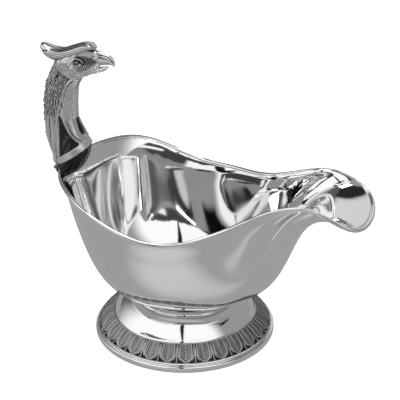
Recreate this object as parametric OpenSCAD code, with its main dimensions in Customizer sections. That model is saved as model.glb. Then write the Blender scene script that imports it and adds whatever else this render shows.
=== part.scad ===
// Footed sauce boat in polished silver, with a cast bird's neck and head for a handle.
// Origin: centre of the foot's resting plane. +X points to the pouring lip, +Z up.

/* [Bowl] */
// Overall scale of the rim's stations along X
bowl_length_scale = 1.0; // [0.95:0.01:1.05]
// Overall scale of the rim's stations across Y
bowl_width_scale = 1.0; // [0.95:0.01:1.05]
// Thickness of the bowl's sheet
wall = 1.5; // [1.2:0.1:2]
// How far the everted lip stands out from the wall below it
lip_flare = 2.2; // [1:0.1:3]
// Height of the bowl's flat bottom above the table
bowl_bottom_z = 27.5; // [27:0.1:28]
// Radius of the bowl's flat bottom
bowl_bottom_r = 14; // [12:0.5:16]

/* [Rim band] */
// How far the rim band swells past each face of the sheet
band_swell = 0.55; // [0.3:0.05:0.9]
// Height of the rim band above the sheet's edge
band_height = 1.7; // [1.2:0.1:2.4]

/* [Foot] */
// Radius of the foot on the table
foot_r = 55; // [53:0.5:58]
// Height of the plain edge moulding
edge_h = 4.2; // [3:0.1:5]
// Width of the flat ring that rests on the table
rest_w = 2.4; // [1.8:0.1:3]
// Inner radius of the leaf border
border_in_r = 43.7; // [42:0.1:45]
// Outer radius of the leaf border
border_out_r = 52.6; // [51:0.1:53]
// Height of the leaf border's inner edge
border_top_z = 13.4; // [12:0.1:14]
// Thickness of the foot's sheet
foot_sheet = 1.4; // [1.2:0.1:2]

/* [Handle] */
// Half width of the neck at its middle
neck_half_w = 8.6; // [7:0.1:10]
// Half width of the neck where it meets the collar
neck_base_half_w = 11.5; // [10:0.1:13]
// Half width of the head at the cheeks
head_half_w = 8.2; // [7:0.1:9]
// Half width of the crest at its widest
crest_half_w = 7.5; // [6:0.1:9]
// Thickness of the plain collar, measured along the neck
collar_t = 4; // [3:0.1:5]
// How far the collar stands proud of the neck
collar_proud = 0.6; // [0.3:0.1:1]

/* [Hidden] */

silver = [0.80, 0.80, 0.81];
silver_shade = [0.62, 0.62, 0.64];
silver_dark = [0.45, 0.45, 0.47];
satin = [0.70, 0.70, 0.71];

// ---- bowl: five control rings, joined bottom to lip by a degree-4 Bezier ----

// Rim stations from the back round to the lip: [x, half width, height]
rim_stations = [
    [-75, 0, 100.5], [-60.5, 38, 101.5], [-37.5, 58, 96.5], [-8.5, 61, 86], [17, 53.5, 85.5],
    [38, 38.5, 90], [58.5, 28, 97.5], [81.5, 29, 101.5], [103.5, 27.5, 92.5], [111, 0, 88.5]
];
rim_spans = len(rim_stations) - 1;
steps_per_span = 4;
half_steps = rim_spans * steps_per_span;
around = 2 * half_steps;
up_steps = 14;
rim_centre_x = 4.5;

// Control ring just above the flat bottom: [centre x, half length, half width]
low_ring = [1, 54, 35.5];
// Control ring of the belly: [centre x, half length, half width, height]
belly_ring = [8.5, 63.5, 55.7, 29.6];
// The wall's top tangent, for the body and for the spout: [scale towards the centre, drop]
body_pull = [0.97, 18.5];
spout_pull = [0.50, -19];
spout_width_pull = 0.85;
// Where along the half rim the body turns into the spout, 0 at the back and 1 at the lip
spout_from = 0.60;
spout_to = 0.90;
// Share of the wall's height over which the lip turns out
lip_from = 0.86;

function clamp01(v) = min(1, max(0, v));
function smooth(v) = let (c = clamp01(v)) c * c * (3 - 2 * c);
function mix(a, b, t) = a + (b - a) * t;
function unit(v) = v / norm(v);

// Station i with the rim mirrored past either end, half widths signed
function station(i) =
    i < 0 ? let (s = rim_stations[-i]) [s[0], -s[1], s[2]]
    : i > rim_spans ? let (s = rim_stations[2 * rim_spans - i]) [s[0], -s[1], s[2]]
    : rim_stations[i];
function catmull(p0, p1, p2, p3, t) =
    0.5 * (2 * p1 + (p2 - p0) * t + (2 * p0 - 5 * p1 + 4 * p2 - p3) * t * t
           + (3 * p1 - p0 - 3 * p2 + p3) * t * t * t);
// Half rim at step k: k = 0 at the back, half_steps at the lip
function half_rim(k) =
    let (i = min(floor(k / steps_per_span), rim_spans - 1),
         p = catmull(station(i - 1), station(i), station(i + 1), station(i + 2),
                     k / steps_per_span - i))
    [p[0] * bowl_length_scale, p[1] * bowl_width_scale, p[2]];

// Outward direction of the rim in plan at step k
function rim_out(k) =
    let (a = half_rim(max(k - 1, 0)), b = half_rim(min(k + 1, half_steps)))
    k == 0 ? [-1, 0, 0] : k == half_steps ? [1, 0, 0]
    : unit([-(b[1] - a[1]), b[0] - a[0], 0]);

function ellipse_ring(c, a, b, z, turn) = [c - a * cos(turn), b * sin(turn), z];

// Outer skin on the +Y side at step k and height share u
function half_skin(k, u) =
    let (
        t = k / half_steps,
        turn = 180 * t,
        s = smooth((t - spout_from) / (spout_to - spout_from)),
        rim = half_rim(k) - lip_flare * rim_out(k),
        pull = mix(body_pull, spout_pull, s),
        r0 = ellipse_ring(0, bowl_bottom_r, bowl_bottom_r, bowl_bottom_z, turn),
        r1 = ellipse_ring(low_ring[0], low_ring[1], low_ring[2], bowl_bottom_z, turn),
        r2 = ellipse_ring(belly_ring[0], belly_ring[1], belly_ring[2], belly_ring[3], turn),
        r3 = [mix(rim_centre_x, rim[0], pull[0]),
              rim[1] * mix(body_pull[0], spout_width_pull, s), rim[2] - pull[1]],
        v = 1 - u,
        lip = pow(clamp01((u - lip_from) / (1 - lip_from)), 2) * lip_flare
    )
    v * v * v * v * r0 + 4 * u * v * v * v * r1 + 6 * u * u * v * v * r2
    + 4 * u * u * u * v * r3 + u * u * u * u * rim + lip * rim_out(k);

// Whole skin: steps past the lip come back along the -Y side
function skin(k, u) =
    let (m = (k + around) % around)
    m <= half_steps ? half_skin(m, u)
    : let (p = half_skin(around - m, u)) [p[0], -p[1], p[2]];

function skin_normal(k, u) =
    u == 0 ? [0, 0, -1]
    : let (e = 0.02, along = skin(k + 1, u) - skin(k - 1, u),
           rise = skin(k, min(1, u + e)) - skin(k, max(0, u - e)))
      unit(cross(rise, along));

function up_share(i) = i / up_steps;
outer_skin = [for (i = [0 : up_steps]) [for (k = [0 : around - 1]) skin(k, up_share(i))]];
inner_skin = [for (i = [0 : up_steps]) [for (k = [0 : around - 1])
    outer_skin[i][k] - wall * skin_normal(k, up_share(i))]];

function flatten(rows) = [for (row = rows) for (p = row) p];

// Faces between two rings that start at index a and b
function band_faces(a, b, n) = [for (k = [0 : n - 1]) let (m = (k + 1) % n)
    each [[a + k, a + m, b + m], [a + k, b + m, b + k]]];
function fan(start, centre, n) = [for (k = [0 : n - 1]) [centre, start + (k + 1) % n, start + k]];
function flipped(faces) = [for (f = faces) [f[2], f[1], f[0]]];

// Closed solid from a stack of rings, each with the same number of points
module ring_stack(rings, first_middle, last_middle) {
    n = len(rings[0]);
    last = (len(rings) - 1) * n;
    points = concat(flatten(rings), [first_middle, last_middle]);
    walls = [for (i = [0 : len(rings) - 2]) each band_faces(i * n, (i + 1) * n, n)];
    polyhedron(points, concat(walls, fan(0, last + n, n), flipped(fan(last, last + n + 1, n))));
}

bottom_middle = [0, 0, bowl_bottom_z];
inside_middle = [0, 0, bowl_bottom_z + wall];
inside_rings = reversed(inner_skin);

module bowl() {
    color(silver) ring_stack(concat(outer_skin, inside_rings), bottom_middle, inside_middle);
}

// Half-round band along the sheet's edge: [share across the sheet, swell, height] per corner
band_section = [[0, 0, 0], [0, 1, 0.25], [0, 0.85, 0.75], [0.5, 0, 1], [1, -0.85, 0.75],
                [1, -1, 0.25], [1, 0, 0]];

function band_corner(k, c) =
    let (o = outer_skin[up_steps][k], i = inner_skin[up_steps][k],
         rise = unit(skin(k, 1) - skin(k, 0.98)))
    mix(o, i, c[0]) + unit(o - i) * c[1] * band_swell + rise * c[2] * band_height;

band_rings = [for (c = band_section) [for (k = [0 : around - 1]) band_corner(k, c)]];

module rim_band() {
    corners = len(band_section);
    faces = [for (c = [0 : corners - 1])
        each band_faces(c * around, ((c + 1) % corners) * around, around)];
    color(silver) polyhedron(flatten(band_rings), faces);
}

// The bowl and its band as one solid, for cutting what is fitted over the rim
module bowl_and_band() {
    swell = [for (c = [1 : len(band_section) - 2]) band_rings[c]];
    ring_stack(concat(outer_skin, swell, inside_rings), bottom_middle, inside_middle);
}

// ---- foot: three turned rings, each resting on the next ----

function bezier3(a, b, c, d, t) =
    let (v = 1 - t) v * v * v * a + 3 * v * v * t * b + 3 * v * t * t * c + t * t * t * d;

crown_r = 20;
crown_z = bowl_bottom_z - 0.7;
dome_steps = 9;
dome_pull_low = [38.6, 21];
dome_pull_high = [33.5, 27];
border_out_z = edge_h;

function dome_outline(lift) = [for (i = [0 : dome_steps])
    bezier3([border_in_r, border_top_z] - [lift, 0], dome_pull_low - [lift, lift] * 0.7,
            dome_pull_high - [0, lift], [crown_r, crown_z] - [0, lift], i / dome_steps)];

module foot_dome() {
    joint_r = bowl_bottom_r - 1;
    color(silver) rotate_extrude($fn = 96)
        polygon(concat(dome_outline(0), [[joint_r, bowl_bottom_z], [0, bowl_bottom_z],
                                         [0, crown_z - foot_sheet]],
                       [for (i = [0 : dome_steps]) dome_outline(foot_sheet)[dome_steps - i]]));
}

// The border falls from the dome to the edge moulding in a shallow ogee
border_mid = [48.6, 9.6];

module leaf_border() {
    drop = foot_sheet;
    color(silver_dark) rotate_extrude($fn = 96)
        polygon([[border_in_r, border_top_z], [border_mid[0], border_mid[1]],
                 [border_out_r, border_out_z + 0.6], [border_out_r, border_out_z - drop],
                 [border_mid[0] - drop, border_mid[1] - drop],
                 [border_in_r - foot_sheet, border_top_z - drop],
                 [border_in_r - foot_sheet, border_top_z]]);
}

module foot_edge_moulding() {
    color(silver) rotate_extrude($fn = 96)
        polygon([[foot_r - rest_w, 0], [foot_r - 0.4, 0], [foot_r, 0.8], [foot_r, edge_h - 1.4],
                 [foot_r - 0.5, edge_h - 0.4], [foot_r - 1.2, edge_h],
                 [border_out_r, edge_h], [border_out_r, border_out_z - foot_sheet]]);
}

// ---- handle: lofts between flat oval sections that stand square to the XZ plane ----
// A section is [back x, back z, front x, front z, half width].

oval_sides = 20;

function oval(s) =
    let (c = [(s[0] + s[2]) / 2, (s[1] + s[3]) / 2], h = [(s[2] - s[0]) / 2, (s[3] - s[1]) / 2])
    [for (k = [0 : oval_sides - 1]) let (a = 360 * k / oval_sides)
        [c[0] + h[0] * cos(a), s[4] * sin(a), c[1] + h[1] * cos(a)]];

function oval_middle(s) = [(s[0] + s[2]) / 2, 0, (s[1] + s[3]) / 2];
// Above zero when the sections, taken in order, run with the turn of their ovals
function run_with_turn(sections) =
    let (s = sections[0], ahead = oval_middle(sections[1]) - oval_middle(s))
    (s[2] - s[0]) * ahead[2] - (s[3] - s[1]) * ahead[0];
function reversed(list) = [for (i = [1 : len(list)]) list[len(list) - i]];
module loft(sections) {
    ordered = run_with_turn(sections) > 0 ? reversed(sections) : sections;
    ring_stack([for (s = ordered) oval(s)], oval_middle(ordered[0]),
               oval_middle(ordered[len(ordered) - 1]));
}
// Section moved by [x, z], and section grown by g all round
function moved(s, d) = [s[0] + d[0], s[1] + d[1], s[2] + d[0], s[3] + d[1], s[4]];
function grown(s, g) =
    let (u = unit([s[2] - s[0], s[3] - s[1]]) * g)
    [s[0] - u[0], s[1] - u[1], s[2] + u[0], s[3] + u[1], s[4] + g];
function without_first(list) = [for (i = [1 : len(list) - 1]) list[i]];

// Where the neck is cut for the collar: it slopes up towards the bowl
neck_cut = [-79.8, 105.8, -59.6, 119.2, neck_base_half_w];
cut_dir = unit([neck_cut[2] - neck_cut[0], neck_cut[3] - neck_cut[1]]);
collar_foot = moved(neck_cut, [cut_dir[1], -cut_dir[0]] * collar_t);

// Point of the cut's plane at share t from back to front
function cut_at(t) = [mix(neck_cut[0], neck_cut[2], t), mix(neck_cut[1], neck_cut[3], t)];

socket_sections = [
    [-77.4, 97, -69, 96, 7], [-79.2, 99, -63, 100.5, 11.5], [-78.8, 100.9, -59, 108, 12.4],
    collar_foot
];
neck_sections = [
    neck_cut, [-84, 119, -61.6, 124.5, 10], [-85, 129, -64.2, 131, neck_half_w + 0.2],
    [-85.2, 138, -64.5, 138, neck_half_w], [-84.4, 147, -64.2, 145, neck_half_w - 0.3],
    [-82, 156.5, -63.4, 151.5, neck_half_w - 0.6], [-77.6, 166.5, -61.6, 156, 7.4]
];
neck_top = neck_sections[len(neck_sections) - 1];
beak_root = [-54.5, 175.4, -57.5, 159.2, 5.4];
head_sections = [
    neck_top, [-75.6, 170.4, -61, 157.2, head_half_w - 0.2],
    [-70, 173.8, -60.2, 157.8, head_half_w], [-62.5, 175.6, -59.2, 158.4, head_half_w - 0.8],
    beak_root
];

module handle_neck() {
    color(silver_shade) loft(neck_sections);
}

module bird_head() {
    color(silver_shade) loft(head_sections);
}

module handle_collar() {
    color(satin) loft([grown(collar_foot, collar_proud), grown(neck_cut, collar_proud)]);
}

module handle_socket() {
    color(silver) difference() {
        loft(socket_sections);
        bowl_and_band();
    }
}

// Socket, neck and head as one smooth solid, for cutting what lies on them
module handle_core() {
    loft(concat(socket_sections, neck_sections, without_first(head_sections)));
}

leaf_foot_from = 0.72;
leaf_foot_to = 0.97;
leaf_sections = [
    [-72.8, 136, -70, 137, 0.8], [-71, 129.5, -64.6, 131, 2.2], [-68, 124, -62.2, 125.5, 2.6],
    concat(cut_at(leaf_foot_from), cut_at(leaf_foot_to), [2.6])
];
leaf_offset = 7.6;

module throat_leaf(side) {
    color(silver) difference() {
        translate([0, side * leaf_offset, 0]) loft(leaf_sections);
        handle_core();
    }
}
module throat_leaf_left() { throat_leaf(1); }
module throat_leaf_right() { throat_leaf(-1); }

// Each ring of the strap, bottom to top:
// [section it lies on, side of the oval it starts from, inner growth, outer growth]
strap_sunk = -1;
strap_t = 0.9;
bud_t = 1.9;
strap_plan = [
    [mix(socket_sections[0], socket_sections[1], 0.3), 9.5, strap_sunk, strap_t],
    [socket_sections[1], 9.1, strap_sunk, bud_t],
    [mix(socket_sections[1], socket_sections[2], 0.8), 9.1, strap_sunk, bud_t],
    [collar_foot, 8, collar_proud, collar_proud + strap_t],
    [neck_cut, 7.2, collar_proud, collar_proud + strap_t],
    [mix(neck_sections[0], neck_sections[1], 0.2), 6.9, strap_sunk, strap_t],
    [neck_sections[1], 5.9, strap_sunk, strap_t],
    [neck_sections[2], 5.5, strap_sunk, strap_t * 0.8],
    [mix(neck_sections[2], neck_sections[3], 0.6), 5.6, strap_sunk, strap_t / 3]
];
strap_points = 9;

function strap_point(p, i, by) =
    let (o = oval(grown(p[0], by)), s = mix(p[1], oval_sides - p[1], i / (strap_points - 1)),
         k = floor(s))
    mix(o[k], o[(k + 1) % oval_sides], s - k);
function strap_ring(p) =
    concat([for (i = [0 : strap_points - 1]) strap_point(p, i, p[3])],
           [for (i = [1 : strap_points]) strap_point(p, strap_points - i, p[2])]);
// Faces that close the strap on its ring that starts at index a
function strap_end(a) = [for (j = [0 : strap_points - 2]) let (q = 2 * strap_points - 1 - j)
    each [[a + j + 1, a + j, a + q], [a + j + 1, a + q, a + q - 1]]];

module strap_blank() {
    rings = [for (p = reversed(strap_plan)) strap_ring(p)];
    n = 2 * strap_points;
    last = (len(rings) - 1) * n;
    walls = [for (i = [0 : len(rings) - 2]) each band_faces(i * n, (i + 1) * n, n)];
    polyhedron(flatten(rings), concat(walls, strap_end(0), flipped(strap_end(last))));
}

// The strap wraps the back of the neck, narrows over the collar and ends in a bud behind the rim
module back_strap() {
    color(silver) difference() {
        strap_blank();
        handle_core();
    }
}

// Point of the beak root's plane at share t from top to bottom
function root_at(t) = [mix(beak_root[0], beak_root[2], t), mix(beak_root[1], beak_root[3], t)];

upper_beak_sections = [
    concat(root_at(0.04), root_at(0.62), [4.4]), [-50.5, 174.6, -52, 165.6, 3.6],
    [-46.4, 173.5, -47.4, 166.2, 2.7], [-43, 172, -44.2, 166.6, 1.9],
    [-41.1, 169.8, -42.4, 166.3, 1.1], [-40.7, 166.6, -41.4, 165.6, 0.5]
];
lower_beak_sections = [
    concat(root_at(0.66), root_at(0.98), [3.8]), [-51, 164.8, -51.6, 160.8, 2.7],
    [-46.6, 165.6, -47, 162.6, 1.6], [-44.6, 165.8, -44.8, 164.6, 0.6]
];

module upper_beak() {
    color(silver) loft(upper_beak_sections);
}
module lower_beak() {
    color(silver) loft(lower_beak_sections);
}

crest_sections = [
    [-85.2, 176.8, -85.6, 173.6, 2.6], [-83, 176.9, -82.4, 169.4, 5],
    [-78.5, 175.2, -77, 167.4, 6.6], [-73, 174.4, -71.5, 168.4, crest_half_w],
    [-66, 176.8, -65.5, 170, crest_half_w], [-59, 179.2, -59, 172.5, 6.4],
    [-54.6, 178.8, -54.8, 175.6, 5], [-52, 177, -52.2, 175.4, 2.6]
];

module crest() {
    color(silver) difference() {
        loft(crest_sections);
        handle_core();
    }
}

bowl();
rim_band();
foot_dome();
leaf_border();
foot_edge_moulding();
handle_socket();
handle_collar();
handle_neck();
throat_leaf_left();
throat_leaf_right();
back_strap();
bird_head();
upper_beak();
lower_beak();
crest();
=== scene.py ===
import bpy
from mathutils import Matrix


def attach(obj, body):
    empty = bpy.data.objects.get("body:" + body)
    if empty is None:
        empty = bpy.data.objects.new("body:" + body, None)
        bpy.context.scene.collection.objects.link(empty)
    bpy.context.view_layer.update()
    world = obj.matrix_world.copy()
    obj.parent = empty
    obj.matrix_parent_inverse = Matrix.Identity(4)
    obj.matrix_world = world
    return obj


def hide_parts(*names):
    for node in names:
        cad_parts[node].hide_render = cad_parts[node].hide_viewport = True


bl_info = {
    "name": "Silver sauce boat",
    "version": (1, 0, 0),
    "blender": (4, 5, 0),
    "location": "View3D > Sidebar > Sauce boat",
    "description": "Builds a footed silver sauce boat with a bird-headed handle",
    "category": "Add Mesh",
}

import math

import bmesh
import bpy
import numpy as np
from bpy.props import FloatProperty, FloatVectorProperty, IntProperty, PointerProperty
from mathutils import Euler, Matrix, Vector

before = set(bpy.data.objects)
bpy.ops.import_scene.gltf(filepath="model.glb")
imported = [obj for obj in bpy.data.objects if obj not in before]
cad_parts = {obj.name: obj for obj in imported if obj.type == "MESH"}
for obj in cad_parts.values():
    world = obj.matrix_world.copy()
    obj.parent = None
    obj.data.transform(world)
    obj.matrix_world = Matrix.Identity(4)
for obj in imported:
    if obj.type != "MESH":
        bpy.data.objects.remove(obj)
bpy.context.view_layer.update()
BODY = "root"
MM = 0.001

# ---------------------------------------------------------------------------
# Shape of the boat, in millimetres, in the frame's own axes
# ---------------------------------------------------------------------------

# Rim stations from the back round to the lip: (x, half width, height)
RIM_STATIONS = np.array([
    (-75, 0, 100.5), (-60.5, 38, 101.5), (-37.5, 58, 96.5), (-8.5, 61, 86), (17, 53.5, 85.5),
    (38, 38.5, 90), (58.5, 28, 97.5), (81.5, 29, 101.5), (103.5, 27.5, 92.5), (111, 0, 88.5),
])
STEPS_PER_SPAN = 20
RIM_CENTRE_X = 4.5
BOTTOM_R = 14
BOTTOM_Z = 27.5
LOW_RING = (1, 54, 35.5)
BELLY_RING = (8.5, 63.5, 55.7, 29.6)
BODY_PULL = (0.97, 18.5)
SPOUT_PULL = (0.50, -19)
SPOUT_WIDTH_PULL = 0.85
SPOUT_FROM, SPOUT_TO = 0.60, 0.90
LIP_FROM = 0.86
BOWL_ROWS = 64

# Foot, outline points as (radius, height)
CROWN = (20, 26.8)
DOME_PULLS = ((38.6, 21), (33.5, 27))
BORDER_INNER = (43.7, 13.4)
BORDER_MIDDLE = (48.6, 9.6)
BORDER_OUTER = (52.6, 4.8)
FOOT_R = 55
EDGE_H = 4.2
TURN_STEPS = 240

# Handle sections in the XZ plane: (back x, back z, front x, front z, half width)
NECK_CUT = (-79.8, 105.8, -59.6, 119.2, 11.5)
NECK_SECTIONS = [
    NECK_CUT, (-84, 119, -61.6, 124.5, 10), (-85, 129, -64.2, 131, 8.8),
    (-85.2, 138, -64.5, 138, 8.6), (-84.4, 147, -64.2, 145, 8.3), (-82, 156.5, -63.4, 151.5, 8),
    (-77.6, 166.5, -61.6, 156, 7.4),
]
SOCKET_SECTIONS = [
    (-77.4, 97, -69, 96, 7), (-79.2, 99, -63, 100.5, 11.5), (-78.8, 100.9, -59, 108, 12.4),
]
BEAK_ROOT = (-54.5, 175.4, -57.5, 159.2, 5.4)
HEAD_SECTIONS = [
    NECK_SECTIONS[-1], (-75.6, 170.4, -61, 157.2, 8), (-70, 173.8, -60.2, 157.8, 8.2),
    (-62.5, 175.6, -59.2, 158.4, 7.4), BEAK_ROOT,
]
COLLAR_T = 4
COLLAR_PROUD = 0.6


def smoother(t):
    """Step from 0 to 1 whose slope and bend both start and end at nothing."""
    t = np.clip(t, 0, 1)
    return t * t * t * (t * (6 * t - 15) + 10)


def mix(a, b, t):
    return a + (b - a) * t


def unit(v):
    return v / np.maximum(np.linalg.norm(v, axis=-1, keepdims=True), 1e-9)


def closed_spline(points, steps):
    """Even-bending closed curve through the points, with that many steps a span."""
    n = len(points)
    system = np.zeros((n, n))
    for i in range(n):
        system[i, (i - 1) % n] += 1 / 6
        system[i, i] += 4 / 6
        system[i, (i + 1) % n] += 1 / 6
    control = np.linalg.solve(system, points)
    t = np.arange(steps)[:, None] / steps
    spans = []
    for i in range(n):
        before, start, end, after = (control[(i + j - 1) % n] for j in range(4))
        spans.append(((1 - t) ** 3 * before + (3 * t ** 3 - 6 * t ** 2 + 4) * start
                      + (-3 * t ** 3 + 3 * t ** 2 + 3 * t + 1) * end + t ** 3 * after) / 6)
    return np.concatenate(spans)


def open_spline(points, count):
    """Curve of that many points through the given ones, each a row of numbers."""
    points = np.array(points, float)
    ends = np.vstack([2 * points[0] - points[1], points, 2 * points[-1] - points[-2]])
    out = []
    for s in np.linspace(0, len(points) - 1, count):
        i = min(int(s), len(points) - 2)
        t = s - i
        a, b, c, d = ends[i:i + 4]
        out.append(0.5 * (2 * b + (c - a) * t + (2 * a - 5 * b + 4 * c - d) * t * t
                          + (3 * b - a - 3 * c + d) * t ** 3))
    return np.array(out)


def bezier(points, count):
    """Bezier curve of any degree, sampled at that many points."""
    points = np.array(points, float)
    t = np.linspace(0, 1, count)[:, None]
    degree = len(points) - 1
    return sum(math.comb(degree, i) * t ** i * (1 - t) ** (degree - i) * p
               for i, p in enumerate(points))


def ring_normals(rows):
    """Outward unit normals of a grid of rings, each closed round its second axis."""
    along = np.roll(rows, -1, axis=1) - np.roll(rows, 1, axis=1)
    rise = np.gradient(rows, axis=0)
    normal = unit(np.cross(rise, along))
    middle = rows.mean(axis=1, keepdims=True)
    return normal if np.mean(np.sum(normal * (rows - middle), axis=-1)) >= 0 else -normal


# ---------------------------------------------------------------------------
# Mesh helpers
# ---------------------------------------------------------------------------

def new_object(name, points, faces, relief=None):
    """Mesh object from points in millimetres. relief, 0 in recesses to 1 on top, is kept per point; some
    pieces lower it where there is no recess, to paint shade.
    """
    mesh = bpy.data.meshes.new(name)
    mesh.from_pydata([tuple(p) for p in np.asarray(points) * MM], [], faces)
    mesh.validate()
    values = np.ones(len(mesh.vertices)) if relief is None else np.clip(relief, 0, 1)
    layer = mesh.attributes.new("relief", "FLOAT", "POINT")
    layer.data.foreach_set("value", values.astype(np.float32))
    mesh.shade_smooth()
    obj = bpy.data.objects.new(name, mesh)
    bpy.context.scene.collection.objects.link(obj)
    return obj


def ring_faces(rows, n, first=0, close_rows=False):
    """Quads between neighbouring rings of n points. close_rows joins the last ring to the first."""
    faces = []
    for i in range(rows if close_rows else rows - 1):
        a, b = first + i * n, first + ((i + 1) % rows) * n
        faces += [(a + k, b + k, b + (k + 1) % n, a + (k + 1) % n) for k in range(n)]
    return faces


def slab_faces(rows, across):
    """Faces of a sheet of rows by across points, its underside numbered after it, closed all round."""
    count = rows * across
    faces = []
    for j in range(rows - 1):
        for i in range(across - 1):
            p = j * across + i
            faces.append((p, p + 1, p + across + 1, p + across))
            faces.append((count + p, count + p + across, count + p + across + 1, count + p + 1))
    border = ([(0, i) for i in range(across)] + [(j, across - 1) for j in range(1, rows)]
              + [(rows - 1, i) for i in range(across - 2, -1, -1)]
              + [(j, 0) for j in range(rows - 2, 0, -1)])
    for (j0, i0), (j1, i1) in zip(border, border[1:] + border[:1]):
        p, q = j0 * across + i0, j1 * across + i1
        faces.append((p, count + p, count + q, q))
    return faces


def outward(obj):
    """Turns every face outwards on a closed mesh."""
    work = bmesh.new()
    work.from_mesh(obj.data)
    bmesh.ops.recalc_face_normals(work, faces=work.faces)
    work.to_mesh(obj.data)
    work.free()
    return obj


def ring_stack(name, rows, relief=None, closed_loop=False):
    """Closed mesh from a stack of rings: capped at both ends, or joined into a loop."""
    rows = np.asarray(rows, float)
    count, n = rows.shape[:2]
    points = rows.reshape(-1, 3)
    faces = ring_faces(count, n, close_rows=closed_loop)
    values = None if relief is None else np.asarray(relief, float).reshape(-1)
    if not closed_loop:
        points = np.vstack([points, rows[0].mean(axis=0), rows[-1].mean(axis=0)])
        low, high, last = len(points) - 2, len(points) - 1, (count - 1) * n
        faces += [(low, k, (k + 1) % n) for k in range(n)]
        faces += [(high, last + (k + 1) % n, last + k) for k in range(n)]
        if values is not None:
            values = np.append(values, [values[:n].mean(), values[-n:].mean()])
    return outward(new_object(name, points, faces, values))


def lathe(name, outline, relief=None):
    """Closed ring turned about Z from a closed outline of (radius, height) points."""
    turn = np.linspace(0, 2 * math.pi, TURN_STEPS, endpoint=False)
    outline = np.asarray(outline, float)
    rows = np.stack([outline[:, :1] * np.cos(turn), outline[:, :1] * np.sin(turn),
                     np.repeat(outline[:, 1:], len(turn), axis=1)], axis=-1)
    values = None if relief is None else np.repeat(np.asarray(relief)[:, None], len(turn), axis=1)
    return ring_stack(name, rows, values, closed_loop=True)


def oval_rows(sections, sides, square=2.0):
    """Rings round sections that stand square to the XZ plane. square above 2 fills the corners."""
    turn = np.linspace(0, 2 * math.pi, sides, endpoint=False)
    c, s = np.cos(turn), np.sin(turn)
    c = np.sign(c) * np.abs(c) ** (2 / square)
    s = np.sign(s) * np.abs(s) ** (2 / square)
    sec = np.asarray(sections, float)
    middle, half = (sec[:, 0:2] + sec[:, 2:4]) / 2, (sec[:, 2:4] - sec[:, 0:2]) / 2
    x = middle[:, :1] + half[:, :1] * c
    z = middle[:, 1:] + half[:, 1:] * c
    return np.stack([x, sec[:, 4:5] * s, z], axis=-1)


def grown(section, by):
    """Section grown all round by that much."""
    back, front = np.array(section[0:2], float), np.array(section[2:4], float)
    step = unit(front - back) * by
    return (*(back - step), *(front + step), section[4] + by)


def join(name, objects):
    """One object from several, which are used up."""
    bpy.ops.object.select_all(action="DESELECT")
    for o in objects:
        o.select_set(True)
    bpy.context.view_layer.objects.active = objects[0]
    bpy.ops.object.join()
    objects[0].name = objects[0].data.name = name
    return objects[0]


def finish_piece(piece, material, slot, *nodes):
    """Gives a finished piece its material and its body, and hides the parts of the nodes it stands for.
    slot is not used.
    """
    piece.data.materials.clear()
    piece.data.materials.append(material)
    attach(piece, BODY)
    if nodes:
        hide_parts(*nodes)
    return piece


# ---------------------------------------------------------------------------
# Finishes
# ---------------------------------------------------------------------------

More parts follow.
